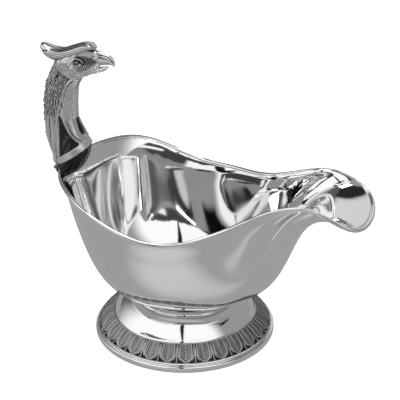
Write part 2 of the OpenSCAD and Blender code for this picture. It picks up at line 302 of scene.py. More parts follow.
def silver_finish(name, colour, tarnish, polish, recess_polish, mottle, scratch):
    """Silver whose recesses, read from the relief attribute, stay dark and dull as tarnish; where the
    relief is lowered with no recess under it, that dark is painted shade.
    """
    mat = bpy.data.materials.get(name) or bpy.data.materials.new(name)
    mat.use_nodes = True
    nodes, links = mat.node_tree.nodes, mat.node_tree.links
    nodes.clear()
    out = nodes.new("ShaderNodeOutputMaterial")
    shader = nodes.new("ShaderNodeBsdfPrincipled")
    shader.inputs["Metallic"].default_value = 1.0
    links.new(shader.outputs["BSDF"], out.inputs["Surface"])

    place = nodes.new("ShaderNodeTexCoord")
    smudge = nodes.new("ShaderNodeTexNoise")
    smudge.inputs["Scale"].default_value = 34.0
    smudge.inputs["Detail"].default_value = 6.0
    smudge.inputs["Roughness"].default_value = 0.62
    links.new(place.outputs["Object"], smudge.inputs["Vector"])

    relief = nodes.new("ShaderNodeAttribute")
    relief.attribute_name = "relief"
    depth = nodes.new("ShaderNodeMapRange")
    depth.interpolation_type = "SMOOTHSTEP"
    depth.inputs["From Min"].default_value = 0.05
    depth.inputs["From Max"].default_value = 0.62
    links.new(relief.outputs["Fac"], depth.inputs["Value"])

    tone = nodes.new("ShaderNodeMix")
    tone.data_type = "RGBA"
    tone.inputs[6].default_value = (*tarnish, 1)
    tone.inputs[7].default_value = (*colour, 1)
    links.new(depth.outputs["Result"], tone.inputs[0])
    haze = nodes.new("ShaderNodeMapRange")
    haze.inputs["From Min"].default_value = 0.35
    haze.inputs["From Max"].default_value = 0.75
    haze.inputs["To Min"].default_value = 1.0
    haze.inputs["To Max"].default_value = 1.0 - mottle
    links.new(smudge.outputs["Fac"], haze.inputs["Value"])
    shade = nodes.new("ShaderNodeMix")
    shade.data_type = "RGBA"
    shade.blend_type = "MULTIPLY"
    shade.inputs[0].default_value = 1.0
    links.new(tone.outputs[2], shade.inputs[6])
    links.new(haze.outputs["Result"], shade.inputs[7])
    links.new(shade.outputs[2], shader.inputs["Base Color"])

    dull = nodes.new("ShaderNodeMapRange")
    dull.inputs["To Min"].default_value = recess_polish
    dull.inputs["To Max"].default_value = polish
    links.new(depth.outputs["Result"], dull.inputs["Value"])
    rub = nodes.new("ShaderNodeMath")
    rub.operation = "MULTIPLY_ADD"
    rub.inputs[1].default_value = mottle * 0.5
    links.new(smudge.outputs["Fac"], rub.inputs[0])
    links.new(dull.outputs["Result"], rub.inputs[2])
    links.new(rub.outputs["Value"], shader.inputs["Roughness"])

    turned = nodes.new("ShaderNodeMapping")
    turned.inputs["Scale"].default_value = (160, 160, 1400)
    turned.inputs["Rotation"].default_value = (0.35, 0.2, 0)
    lines = nodes.new("ShaderNodeTexNoise")
    lines.inputs["Scale"].default_value = 1.0
    lines.inputs["Detail"].default_value = 3.0
    links.new(place.outputs["Object"], turned.inputs["Vector"])
    links.new(turned.outputs["Vector"], lines.inputs["Vector"])
    bump = nodes.new("ShaderNodeBump")
    bump.inputs["Strength"].default_value = scratch
    bump.inputs["Distance"].default_value = 0.00002
    links.new(lines.outputs["Fac"], bump.inputs["Height"])
    links.new(bump.outputs["Normal"], shader.inputs["Normal"])
    return mat


def polished():
    f = bpy.context.scene.boat_finish
    return silver_finish("polished_silver", f.silver, f.tarnish, f.polish, f.polish + 0.2, 0.05, 0.05)


def satin():
    f = bpy.context.scene.boat_finish
    return silver_finish("satin_silver", f.satin, f.tarnish, f.satin_polish, 0.5, 0.10, 0.25)


def chased():
    f = bpy.context.scene.boat_finish
    return silver_finish("chased_silver", f.chased, f.tarnish, 0.2, 0.45, 0.16, 0.3)


def relief_silver():
    f = bpy.context.scene.boat_finish
    return silver_finish("relief_silver", f.relief, f.tarnish, 0.24, 0.5, 0.16, 0.3)


# ---------------------------------------------------------------------------
# Bowl and rim band
# ---------------------------------------------------------------------------

def rim_curve():
    """The rim all the way round, from the back along +Y to the lip and back along -Y."""
    mirrored = RIM_STATIONS[-2:0:-1] * (1, -1, 1)
    return closed_spline(np.vstack([RIM_STATIONS, mirrored]), STEPS_PER_SPAN)


def bowl_skin(sizes, shares):
    """Outer skin of the bowl as rings, one for each share of its height."""
    rim = rim_curve()
    around = len(rim)
    out = np.roll(rim, 1, axis=0) - np.roll(rim, -1, axis=0)
    out = unit(np.stack([out[:, 1], -out[:, 0], np.zeros(around)], axis=1))
    t = 2 * np.arange(around) / around
    turn = math.pi * t
    spout = smoother((np.minimum(t, 2 - t) - SPOUT_FROM) / (SPOUT_TO - SPOUT_FROM))[:, None]
    flare = sizes.lip_flare / MM
    top = rim - flare * out

    def ring(centre, half_length, half_width, height):
        return np.stack([centre - half_length * np.cos(turn), half_width * np.sin(turn),
                         np.full(around, height)], axis=1)

    pull = mix(BODY_PULL[0], SPOUT_PULL[0], spout)
    drop = mix(BODY_PULL[1], SPOUT_PULL[1], spout)
    shoulder = np.hstack([mix(RIM_CENTRE_X, top[:, :1], pull),
                          top[:, 1:2] * mix(BODY_PULL[0], SPOUT_WIDTH_PULL, spout),
                          top[:, 2:3] - drop])
    rings = [ring(0, BOTTOM_R, BOTTOM_R, BOTTOM_Z), ring(*LOW_RING, BOTTOM_Z),
             ring(*BELLY_RING), shoulder, top]
    rows = []
    for u in shares:
        lip = max(0, (u - LIP_FROM) / (1 - LIP_FROM)) ** 2.2 * flare
        weights = [math.comb(4, i) * u ** i * (1 - u) ** (4 - i) for i in range(5)]
        rows.append(sum(w * r for w, r in zip(weights, rings)) + lip * out)
    return np.array(rows)


def bowl_surfaces(sizes):
    """Outer and inner skins, a sheet's thickness apart."""
    shares = np.concatenate([np.linspace(0, 0.8, int(BOWL_ROWS * 0.7), endpoint=False),
                             np.linspace(0.8, 1, int(BOWL_ROWS * 0.3))])
    outer = bowl_skin(sizes, shares)
    along = np.roll(outer, -1, axis=1) - np.roll(outer, 1, axis=1)
    rise = np.gradient(outer, shares, axis=0)
    normal = unit(np.cross(rise, along))
    normal[0] = (0, 0, -1)
    return outer, outer - sizes.wall / MM * normal


def build_bowl(sizes):
    outer, inner = bowl_surfaces(sizes)
    piece = ring_stack("bowl_body", np.concatenate([outer, inner[::-1]]))
    return finish_piece(piece, polished(), "polished_silver", "bowl")


def build_rim_band(sizes):
    outer, inner = bowl_surfaces(sizes)
    o, i = outer[-1], inner[-1]
    across, rise = unit(o - i), unit(outer[-1] - outer[-2])
    middle = (o + i) / 2
    half = np.linalg.norm(o - i, axis=1, keepdims=True) / 2 + sizes.band_swell / MM
    height = sizes.band_height / MM
    rows = []
    for angle in np.linspace(0, 2 * math.pi, 18, endpoint=False):
        up = math.sin(angle)
        lift = height * up if up > 0 else 0.45 * height * up
        rows.append(middle + across * half * math.cos(angle) + rise * lift)
    piece = ring_stack("rim_band_piece", np.array(rows), closed_loop=True)
    return finish_piece(piece, polished(), "polished_silver", "rim_band")


# ---------------------------------------------------------------------------
# Foot
# ---------------------------------------------------------------------------

def build_foot_dome(sizes):
    sheet = sizes.sheet / MM
    fillet = bezier([BORDER_INNER, (BORDER_INNER[0] - 0.7, BORDER_INNER[1] + 0.1),
                     (BORDER_INNER[0] - 1.2, BORDER_INNER[1] + 1.2)], 6)
    dome = bezier([fillet[-1], *DOME_PULLS, CROWN], 44)
    joint = bezier([CROWN, (BOTTOM_R + 2, CROWN[1] + 0.1), (BOTTOM_R - 1, BOTTOM_Z)], 6)
    under = dome[::-1] - np.array([sheet * 0.7, sheet])
    outline = np.vstack([fillet, dome[1:], joint[1:], [(2, BOTTOM_Z), (2, BOTTOM_Z - sheet)],
                         under, [(BORDER_INNER[0] - sheet, BORDER_INNER[1] - 0.6)]])
    piece = lathe("foot_dome_piece", outline)
    return finish_piece(piece, polished(), "polished_silver", "foot_dome")


def build_edge_moulding(sizes):
    r, h = FOOT_R, EDGE_H
    inner = r - sizes.rest_width / MM
    outline = np.vstack([
        [(inner, 0), (r - 0.7, 0)],
        bezier([(r - 0.7, 0), (r, 0), (r, 0.7)], 6)[1:],
        bezier([(r, h - 1.9), (r, h - 0.6), (r - 1.0, h - 0.45)], 8),
        [(r - 1.45, h - 0.75)],
        bezier([(r - 1.5, h - 0.5), (r - 1.75, h + 0.25), (r - 2.1, h - 0.1)], 6),
        [(BORDER_OUTER[0] - 0.2, h - 0.1), (BORDER_OUTER[0] - 0.2, h - 1.6)],
    ])
    shine = [0.2 if abs(p[0] - (r - 1.45)) < 0.01 else 1.0 for p in outline]
    piece = lathe("foot_edge_piece", outline, shine)
    return finish_piece(piece, polished(), "polished_silver", "foot_edge_moulding")


def border_base(s):
    """Point of the border's ground at share s from its inner edge, and the slope's normal."""
    a, b, c = (np.array(p, float) for p in (BORDER_INNER, BORDER_MIDDLE, BORDER_OUTER))
    pull = 2 * b - (a + c) / 2
    p = (1 - s) ** 2 * a + 2 * s * (1 - s) * pull + s * s * c
    d = unit(2 * (1 - s) * (pull - a) + 2 * s * (c - pull))
    return p, np.array([-d[1], d[0]])


def ridge(distance, width):
    return np.exp(-(distance / width) ** 2)


def leaf_height(s, a):
    """Height of the relief, 0 to 1. s runs outward, a is 0 on a leaf and 0.5 on a dart."""
    a = np.abs(a)
    from_middle = np.clip((s - 0.52) / 0.40, 0, None)
    half = 0.345 * np.sqrt(np.clip(1 - from_middle ** 2, 0, 1))
    inside = np.clip((half - a) / 0.03, 0, 1)
    gap = 0.345 * (np.hypot(from_middle, a / 0.345) - 1)
    edge = ridge(gap, 0.036)
    vein = (0.5 + 0.5 * np.cos(2 * math.pi * (s * 8.5 + a * 7.5))) ** 1.5
    blade = inside * (0.12 + 0.60 * vein * np.clip((half - a - 0.02) / 0.05, 0, 1)
                      + 0.55 * ridge(a, 0.032))
    gap_dart = np.abs(0.5 - a)
    stem = ridge(gap_dart, 0.028) * (s < 0.88) * 0.85
    flare_out = 0.055 + 0.17 * np.clip((s - 0.45) / 0.45, 0, 1) ** 2
    sepal = ridge(gap_dart - flare_out, 0.026) * 0.7 * np.clip((s - 0.05) / 0.2, 0, 1) * (s < 0.86)
    ends = np.maximum(ridge(s - 0.015, 0.02), ridge(s - 0.985, 0.02)) * 0.9
    return np.maximum.reduce([edge, blade, stem, sepal, ends])


def leaf_unit(sizes):
    """One leaf with half a dart at each side: a strip of the border, closed round its section."""
    across, out, under = 33, 44, 6
    shares = np.linspace(0, 1, out)
    sides = np.linspace(-0.5, 0.5, across)
    step = 2 * math.pi / sizes.leaves
    s, a = np.meshgrid(shares, sides, indexing="ij")
    height = leaf_height(s, a)
    points, relief = [], []
    for i, share in enumerate(shares):
        base, normal = border_base(share)
        for j, side in enumerate(sides):
            r, z = base + normal * (height[i, j] * sizes.leaf_depth / MM - 0.1)
            points.append((r * math.cos(side * step), r * math.sin(side * step), z))
            relief.append(height[i, j])
    for share in np.linspace(1, 0, under):
        base, normal = border_base(share)
        r, z = base - normal * sizes.sheet / MM
        for side in sides:
            points.append((r * math.cos(side * step), r * math.sin(side * step), z))
            relief.append(1)
    rows = out + under
    faces = []
    for i in range(rows):
        a0, b0 = i * across, ((i + 1) % rows) * across
        faces += [(a0 + j, b0 + j, b0 + j + 1, a0 + j + 1) for j in range(across - 1)]
    return new_object("leaf_unit", points, faces, relief)


def ball(name, radius, rings=6, sides=10):
    """Small closed ball of a few dozen faces."""
    rows = [[(radius * math.sin(t) * math.cos(p), radius * math.sin(t) * math.sin(p),
              radius * math.cos(t)) for p in np.linspace(0, 2 * math.pi, sides, endpoint=False)]
            for t in np.linspace(0.25, math.pi - 0.25, rings)]
    return ring_stack(name, rows, np.ones((rings, sides)))


# ---------------------------------------------------------------------------
# Geometry Nodes
# ---------------------------------------------------------------------------

def new_tree(name, inputs):
    """Node tree with a geometry input and output and the named inputs given as (name, type)."""
    tree = bpy.data.node_groups.new(name, "GeometryNodeTree")
    tree.interface.new_socket("Geometry", in_out="INPUT", socket_type="NodeSocketGeometry")
    for label, kind in inputs:
        tree.interface.new_socket(label, in_out="INPUT", socket_type=kind)
    tree.interface.new_socket("Geometry", in_out="OUTPUT", socket_type="NodeSocketGeometry")
    return tree, tree.nodes.new("NodeGroupInput"), tree.nodes.new("NodeGroupOutput")


def grow(obj, tree, values):
    """Runs a tree on the object with its inputs set, and keeps the result as a plain mesh."""
    modifier = obj.modifiers.new(tree.name, "NODES")
    modifier.node_group = tree
    for item in tree.interface.items_tree:
        if item.in_out == "INPUT" and item.name in values:
            modifier[item.identifier] = values[item.name]
    evaluated = obj.evaluated_get(bpy.context.evaluated_depsgraph_get())
    mesh = bpy.data.meshes.new_from_object(evaluated)
    obj.modifiers.remove(modifier)
    obj.data = mesh
    return obj


def discard(*objects):
    for obj in objects:
        bpy.data.objects.remove(obj, do_unlink=True)


def end_tree(tree, start, end, geometry, weld=None):
    """Realizes the instances, welds their seams where asked, shades smooth and sets the material."""
    realize = tree.nodes.new("GeometryNodeRealizeInstances")
    tree.links.new(geometry, realize.inputs["Geometry"])
    last = realize.outputs["Geometry"]
    if weld:
        merge = tree.nodes.new("GeometryNodeMergeByDistance")
        merge.inputs["Distance"].default_value = weld
        tree.links.new(last, merge.inputs["Geometry"])
        last = merge.outputs["Geometry"]
    smooth = tree.nodes.new("GeometryNodeSetShadeSmooth")
    tree.links.new(last, smooth.inputs["Geometry"])
    finish = tree.nodes.new("GeometryNodeSetMaterial")
    tree.links.new(smooth.outputs["Geometry"], finish.inputs["Geometry"])
    tree.links.new(start.outputs["Material"], finish.inputs["Material"])
    tree.links.new(finish.outputs["Geometry"], end.inputs["Geometry"])


def ring_tree():
    """Repeats one unit evenly round the Z axis."""
    tree, start, end = new_tree("units_round_foot", [
        ("Unit", "NodeSocketObject"), ("Count", "NodeSocketInt"),
        ("First angle", "NodeSocketFloat"), ("Material", "NodeSocketMaterial")])
    nodes, links = tree.nodes, tree.links
    seats = nodes.new("GeometryNodePoints")
    links.new(start.outputs["Count"], seats.inputs["Count"])
    index = nodes.new("GeometryNodeInputIndex")
    step = nodes.new("ShaderNodeMath")
    step.operation = "DIVIDE"
    step.inputs[0].default_value = 2 * math.pi
    links.new(start.outputs["Count"], step.inputs[1])
    angle = nodes.new("ShaderNodeMath")
    angle.operation = "MULTIPLY_ADD"
    links.new(index.outputs["Index"], angle.inputs[0])
    links.new(step.outputs["Value"], angle.inputs[1])
    links.new(start.outputs["First angle"], angle.inputs[2])
    spin = nodes.new("ShaderNodeCombineXYZ")
    links.new(angle.outputs["Value"], spin.inputs["Z"])
    shape = nodes.new("GeometryNodeObjectInfo")
    links.new(start.outputs["Unit"], shape.inputs["Object"])
    place = nodes.new("GeometryNodeInstanceOnPoints")
    links.new(seats.outputs["Points"], place.inputs["Points"])
    links.new(shape.outputs["Geometry"], place.inputs["Instance"])
    links.new(spin.outputs["Vector"], place.inputs["Rotation"])
    end_tree(tree, start, end, place.outputs["Instances"], weld=0.00002)
    return tree


def seat_tree():
    """Sets one unit on every seat, turned by the seat's own out and aim directions and size."""
    tree, start, end = new_tree("units_on_seats", [
        ("Unit", "NodeSocketObject"), ("Material", "NodeSocketMaterial")])
    nodes, links = tree.nodes, tree.links

    def reading(label, kind):
        node = nodes.new("GeometryNodeInputNamedAttribute")
        node.data_type = kind
        node.inputs["Name"].default_value = label
        return node.outputs["Attribute"]

    turn = nodes.new("FunctionNodeAxesToRotation")
    turn.primary_axis = "Z"
    turn.secondary_axis = "Y"
    links.new(reading("out", "FLOAT_VECTOR"), turn.inputs["Primary Axis"])
    links.new(reading("aim", "FLOAT_VECTOR"), turn.inputs["Secondary Axis"])
    shape = nodes.new("GeometryNodeObjectInfo")
    links.new(start.outputs["Unit"], shape.inputs["Object"])
    place = nodes.new("GeometryNodeInstanceOnPoints")
    links.new(start.outputs["Geometry"], place.inputs["Points"])
    links.new(shape.outputs["Geometry"], place.inputs["Instance"])
    links.new(turn.outputs["Rotation"], place.inputs["Rotation"])
    links.new(reading("size", "FLOAT_VECTOR"), place.inputs["Scale"])
    end_tree(tree, start, end, place.outputs["Instances"])
    return tree


def seat_object(name, seats):
    """Points that carry out, aim and size, given as rows of (place, out, aim, size)."""
    mesh = bpy.data.meshes.new(name)
    mesh.from_pydata([tuple(np.array(s[0]) * MM) for s in seats], [], [])
    for i, label in enumerate(("out", "aim", "size"), start=1):
        layer = mesh.attributes.new(label, "FLOAT_VECTOR", "POINT")
        layer.data.foreach_set("vector", np.array([s[i] for s in seats], np.float32).ravel())
    obj = bpy.data.objects.new(name, mesh)
    bpy.context.scene.collection.objects.link(obj)
    return obj


def build_leaf_border(sizes):
    tree = ring_tree()
    values = {"Count": sizes.leaves, "Material": relief_silver()}

    def round_foot(name, unit_object, first):
        holder = bpy.data.objects.new(name, bpy.data.meshes.new(name))
        bpy.context.scene.collection.objects.link(holder)
        grow(holder, tree, {**values, "Unit": unit_object, "First angle": first})
        discard(unit_object)
        return holder

    border = round_foot("border_strip", leaf_unit(sizes), sizes.first_leaf)
    outward(border)
    beads = []
    half_step = math.pi / sizes.leaves
    for name, share, turn in (("leaf_beads", 0.915, 0), ("dart_beads", 0.90, half_step)):
        bead = ball(name + "_unit", sizes.bead_radius / MM)
        base, normal = border_base(share)
        r, z = base + normal * 0.35
        bead.data.transform(Matrix.Translation((r * MM, 0, z * MM)))
        beads.append(round_foot(name, bead, sizes.first_leaf + turn))
    piece = join("leaf_border_piece", [border, *beads])
    return finish_piece(piece, relief_silver(), "oxidised_relief", "leaf_border")


# ---------------------------------------------------------------------------
# Handle: chased relief drawn in the XZ plane on both flanks
# ---------------------------------------------------------------------------

def away_from(line, xz):
    """Distance of each point from a line of (x, z) points, and the share along it."""
    line = np.asarray(line, float)
    best = np.full(xz.shape[:-1], 1e9)
    share = np.zeros(xz.shape[:-1])
    for i, (a, b) in enumerate(zip(line[:-1], line[1:])):
        d = b - a
        t = np.clip(((xz - a) @ d) / (d @ d), 0, 1)
        gap = np.linalg.norm(xz - (a + t[..., None] * d), axis=-1)
        closer = gap < best
        best = np.where(closer, gap, best)
        share = np.where(closer, (i + t) / (len(line) - 1), share)
    return best, share


def within(outline, xz, soft):
    """1 inside a closed outline and 0 outside it, with an edge that wide."""
    outline = np.asarray(outline, float)
    inside = np.zeros(xz.shape[:-1], bool)
    for a, b in zip(outline, np.roll(outline, -1, axis=0)):
        crosses = (a[1] > xz[..., 1]) != (b[1] > xz[..., 1])
        rise = b[1] - a[1] if abs(b[1] - a[1]) > 1e-9 else 1e-9
        inside ^= crosses & (xz[..., 0] < a[0] + (xz[..., 1] - a[1]) / rise * (b[0] - a[0]))
    gap, _ = away_from(np.vstack([outline, outline[:1]]), xz)
    return smoother(0.5 + np.where(inside, gap, -gap) / soft)


def spot(xz, centre, along, across, lean=0.0):
    """Smooth bump of 1 at its centre, with its half lengths and lean in degrees."""
    d = xz - np.array(centre, float)
    c, s = math.cos(math.radians(lean)), math.sin(math.radians(lean))
    u, v = d[..., 0] * c + d[..., 1] * s, -d[..., 0] * s + d[..., 1] * c
    return np.exp(-(u / along) ** 2 - (v / across) ** 2)


def sculpted(name, sections, rows, sides, carve, square=2.0):
    """Closed loft through the sections, its skin raised by carve(xz, flank) along its normals."""
    base = oval_rows(open_spline(sections, rows), sides, square)
    normal = ring_normals(base)
    xz = base[..., [0, 2]]
    flank = np.abs(normal[..., 1])
    share = np.repeat(np.linspace(0, 1, rows)[:, None], sides, axis=1)
    lift, relief = carve(xz, flank)
    fade = smoother(np.minimum(share, 1 - share) / 0.02)
    return ring_stack(name, base + normal * (lift * fade)[..., None], relief)


FEATHER_EDGE = [(-64.5, 166.5), (-63.4, 159.6), (-66.2, 157.8), (-68.5, 155.4), (-70.4, 151.6),
                (-71.7, 147.3), (-73.1, 142.3), (-74.4, 138.5), (-75.5, 134), (-76.5, 126),
                (-76.5, 100)]
EAR = [(-73.4, 166.0), (-70.2, 170.5), (-65.2, 172.8), (-60.9, 174.4), (-62.9, 170.6),
       (-65.5, 167.3), (-67.6, 164.1), (-71.7, 163.4)]
# Line under the crest's lower edge along which a shadow is painted on the head
CREST_SHADOW_LINE = [(-76.5, 166.2), (-74.0, 168.6), (-70.9, 171.3), (-66.0, 173.8), (-61.6, 175.4)]
FACE = [(-61.7, 173), (-56.9, 172.6), (-52.6, 171.0), (-50.6, 169.4), (-51.2, 167.2),
        (-53.6, 165.4), (-56.6, 163.4), (-59.8, 162.4), (-62.2, 163.2), (-63.6, 167.6)]
EYE = (-62.0, 168.9)
LID_TOP = [(-66.2, 167.0), (-64.4, 169.6), (-62.0, 171.0), (-59.6, 170.4), (-58.0, 168.6)]
LID_LOW = [(-66.2, 167.0), (-64.2, 167.0), (-61.8, 166.7), (-59.4, 167.6)]
BROW = [(-66.0, 172.4), (-62.8, 174.3), (-59.4, 175.0), (-56.2, 174.0), (-53.6, 173.6)]
CHEEKBONE = [(-66.2, 165.4), (-63.6, 165.4), (-61.4, 164.0)]
CERE = [(-50.6, 174.2), (-49.4, 171.4), (-50.6, 168.4), (-53.4, 165.6), (-57.0, 162.8)]
NOSTRIL = (-52.4, 171.9)
RECESS = [(-73.4, 136), (-72.2, 133.4), (-70.4, 129.2), (-68.2, 125.2), (-65.2, 121.6),
          (-61.8, 118.2), (-66, 110), (-74.2, 104), (-73.9, 112), (-73.7, 120), (-73.9, 128)]
THROAT_RECESS = [(-65.2, 132.2), (-64.0, 128.0), (-61.9, 123.5), (-58.4, 118.6), (-54, 117),
                 (-54, 128), (-60, 134)]
PITS = [(-68.6, 147.2, 1.0), (-70.6, 141.6, 0.7), (-67.4, 143.2, 0.6), (-66.6, 151.6, 0.4),
        (-72.0, 137.6, 0.5)]


def carve_head(xz, flank):
    side = smoother((flank - 0.15) / 0.45)
    ear = within(EAR, xz, 1.6) * side
    face = within(FACE, xz, 1.2) * side
    reach = np.linalg.norm(xz - np.array(EYE), axis=-1)
    barbs = 0.5 + 0.5 * np.cos(xz[..., 0] * 5.2 - xz[..., 1] * 1.9 + np.sin(xz[..., 1] * 1.3) * 0.8)
    brow, _ = away_from(BROW, xz)
    top_lid, _ = away_from(LID_TOP, xz)
    low_lid, _ = away_from(LID_LOW, xz)
    bone, _ = away_from(CHEEKBONE, xz)
    cere, _ = away_from(CERE, xz)
    ball_shape = np.sqrt(np.clip(1 - (reach / 1.5) ** 2, 0, 1))
    lids = np.maximum(ridge(top_lid, 0.42), ridge(low_lid, 0.36))
    strokes = barbs * (0.35 + 0.65 * smoother((168.6 - xz[..., 1]) / 3.0))
    lift = (0.75 * ear + face * (-0.75 + 0.35 * strokes) + 0.95 * ridge(brow, 0.8) * side
            + 0.65 * lids * side + 0.55 * ball_shape * side
            + 0.70 * ridge(bone, 0.8) * side + 0.42 * ridge(cere, 0.45) * side
            - 0.7 * spot(xz, NOSTRIL, 1.2, 0.55, 8) * side)
    chin = smoother((163.5 - xz[..., 1]) / 2)
    down = 0.5 + 0.5 * np.cos(xz[..., 0] * 2.4 + xz[..., 1] * 1.3)
    relief = np.clip(1 - 0.86 * face + 0.42 * face * strokes, 0, 1)
    # Painted shadow: low relief, so dark tarnish colour, in a thin line under the crest, where no groove
    # is cut
    crest_shadow_gap, _ = away_from(CREST_SHADOW_LINE, xz)
    relief = relief - 0.95 * ridge(crest_shadow_gap, 0.45) * side
    relief = relief - 0.85 * spot(xz, NOSTRIL, 1.4, 0.7, 8) * side
    relief = np.maximum(relief, side * np.maximum.reduce([lids, ridge(brow, 0.8), ridge(cere, 0.35)]))
    relief = np.where(side * ball_shape > 0.3, 0.32, relief)
    groove = side * np.maximum(ridge(top_lid - 0.75, 0.3), ridge(reach - 1.65, 0.22))
    return lift + 0.08 * down * chin - 0.2 * groove, np.clip(relief - 0.8 * groove, 0, 1)


def edge_lines():
    """The feathers' front edge as rising heights and the x at each."""
    line = FEATHER_EDGE[:0:-1]
    return [p[1] for p in line], [p[0] for p in line]


def carve_neck(xz, flank):
    recess = within(RECESS, xz, 0.9) * smoother((flank - 0.1) / 0.3)
    front = within(THROAT_RECESS, xz, 1.2)
    hollow = np.maximum(recess, front)
    z_line, x_line = edge_lines()
    feathered = (xz[..., 0] < np.interp(xz[..., 1], z_line, x_line)) & (xz[..., 1] > 122)
    fine = 0.5 + 0.5 * np.cos(xz[..., 1] * 1.1 + np.sin(xz[..., 0] * 0.9) * 2)
    barb = 0.5 + 0.5 * np.cos(xz[..., 0] * 2.1 + np.sin(xz[..., 1] * 0.3) * 2)
    under = np.where(feathered, -0.35, 0.01 * fine * barb)
    relief = np.where(feathered, 0.05, 0.92)
    pits = sum(deep * (spot(xz, (x, z), 0.6, 1.5, 25) - 0.8 * spot(xz, (x + 1.1, z - 1.6), 0.6, 1.1, 25))
               for x, z, deep in PITS)
    edge, _ = away_from(FEATHER_EDGE[:-1], xz)
    ahead = edge * np.where(feathered, -1, 1)
    rim = ridge(ahead - 0.55, 0.42) * (xz[..., 1] > 127) * smoother((flank - 0.2) / 0.3)
    under = under + 0.75 * rim - 0.35 * ridge(ahead - 1.6, 0.45) * (xz[..., 1] > 127)
    relief = np.maximum(relief - 0.75 * ridge(ahead - 1.6, 0.4) * (xz[..., 1] > 127), rim)
    lift = np.where(hollow > 0.02, -1.1 * hollow, under) - 0.35 * pits * flank
    relief = mix(relief, 0.04, hollow) - 0.55 * np.clip(pits, 0, 1) * flank
    speck = (np.cos(xz[..., 0] * 3.9 + xz[..., 1]) * np.cos(xz[..., 1] * 3.3 - xz[..., 0])) ** 6
    speck = speck * smoother((xz[..., 0] + 73.5) / 1.5) * smoother((-65 - xz[..., 0]) / 3)
    return lift + 0.35 * hollow * speck, np.clip(relief + 0.55 * recess * speck, 0, 1)


def build_neck(sizes):
    piece = sculpted("neck_body", NECK_SECTIONS, rows=190, sides=170, carve=carve_neck)
    return finish_piece(piece, chased(), "feathered_silver", "handle_neck")


def build_head(sizes):
    sections = HEAD_SECTIONS[:-1] + [(-57.2, 175.7, -57.4, 158.9, 6.2),
                                     (-52.8, 174.9, -52.6, 162.0, 4.9),
                                     (-50.0, 174.3, -49.8, 165.6, 4.0)]
    sections[0] = tuple(np.array(sections[0]) + (0, -0.8, 0, -0.8, 0))
    piece = sculpted("bird_head_body", sections, rows=200, sides=150, carve=carve_head,
                     square=2.15)
    return finish_piece(piece, chased(), "feathered_silver", "bird_head")


def feather_unit(sizes):
    """One pointed feather with a raised rim and a midrib, its root at the origin, along +Y."""
    length, width = sizes.feather_length / MM, sizes.feather_width / MM
    across, along = 9, 9
    points, relief = [], []
    for j in range(along):
        t = j / (along - 1)
        half = width / 2 * (math.sin(math.pi * min(1, 0.30 + 0.70 * t ** 1.3)) ** 0.8 + 0.03)
        for i in range(across):
            a = 2 * i / (across - 1) - 1
            rib = math.exp(-(a / 0.16) ** 2)
            rim = math.exp(-((abs(a) - 1) / 0.22) ** 2)
            tip = math.exp(-((t - 1) / 0.14) ** 2)
            edge = max(rim, tip)
            y = length * (t - 0.10 * abs(a) * (1 - t))
            z = 0.18 + 0.22 * rib + 0.42 * edge * t + 0.72 * t - 0.30 * a * a
            points.append((half * a, y, z))
            relief.append(min(1, 0.14 + 0.5 * rib + 0.95 * edge * min(1, 0.35 + t)))
    for j in range(along):
        for i in range(across):
            x, y, z = points[j * across + i]
            points.append((x, y, z - 0.6 - 0.4 * (1 - j / (along - 1))))
            relief.append(0.0)
    return outward(new_object("feather_unit", points, slab_faces(along, across), relief))


FEATHER_SEED = 7
FEATHER_FIRST_ROW = 14.0
FEATHER_ROW_STEP = 3.4
FEATHER_OVERLAP = 0.92
FEATHER_SWAY = 0.16
FEATHER_SIZE_SWAY = 0.12
FEATHER_SUNK = 0.55


def build_feathers(sizes):
    """Rows of feathers down the back and flanks of the neck, pointing to its foot."""
    rows, sides = 120, 180
    base = oval_rows(open_spline(NECK_SECTIONS, rows), sides)
    normal = ring_normals(base)
    spine = base.mean(axis=1)
    travelled = np.concatenate([[0], np.cumsum(np.linalg.norm(np.diff(spine, axis=0), axis=1))])
    z_line, x_line = edge_lines()
    seats = []
    wobble = np.random.default_rng(FEATHER_SEED)
    row, distance = 0, FEATHER_FIRST_ROW
    while distance < travelled[-1] + 0.1:
        k = int(np.clip(np.searchsorted(travelled, distance), 1, rows - 2))
        ring, out = base[k], normal[k]
        girth = np.linalg.norm(np.roll(ring, -1, axis=0) - ring, axis=1).sum()
        size = mix(1.0, 0.68, smoother((distance - 30) / 30))
        count = max(12, int(girth / (sizes.feather_width / MM * FEATHER_OVERLAP * size)))
        for i in range(count):
            m = int(round((i + 0.5 * (row % 2)) * sides / count)) % sides
            place, up = ring[m], out[m]
            edge_x = np.interp(place[2], z_line, x_line)
            if place[0] > edge_x - 0.2:
                continue
            down = unit(base[k - 1, m] - base[k + 1, m])
            down = unit(down + np.array([FEATHER_SWAY * wobble.normal(),
                                         FEATHER_SWAY * wobble.normal(), 0]))
            low = smoother((place[2] - 118) / 12)
            scale = size * mix(0.72, 1.0, low) * (1 + FEATHER_SIZE_SWAY * wobble.normal())
            seats.append((place - up * FEATHER_SUNK, up, down, (scale, scale * 1.02, scale * 0.85)))
        distance += FEATHER_ROW_STEP * size
        row += 1
    unit_object = feather_unit(sizes)
    piece = seat_object("neck_feathers", seats)
    grow(piece, seat_tree(), {"Unit": unit_object, "Material": chased()})
    discard(unit_object)
    return finish_piece(piece, chased(), "feathered_silver")


# ---------------------------------------------------------------------------
# Handle: socket, collar, leaves, strap, beaks and crest
# ---------------------------------------------------------------------------

def collar_foot():
    """The neck's cut moved square to itself by the collar's thickness."""
    back, front = np.array(NECK_CUT[0:2]), np.array(NECK_CUT[2:4])
    along = unit(front - back)
    down = np.array([along[1], -along[0]]) * COLLAR_T
    return (*(back + down), *(front + down), NECK_CUT[4])


def build_socket(sizes):
    sections = [*SOCKET_SECTIONS, collar_foot()]
    rows = oval_rows(open_spline(sections, 40), 120)
    # Relief 0.03 all over gives the whole socket the dark tarnish colour: painted shade under the
    # collar, between the neck and the rim
    piece = ring_stack("socket_body", rows, np.full(rows.shape[:2], 0.03))
    return finish_piece(piece, polished(), "polished_silver", "handle_socket")


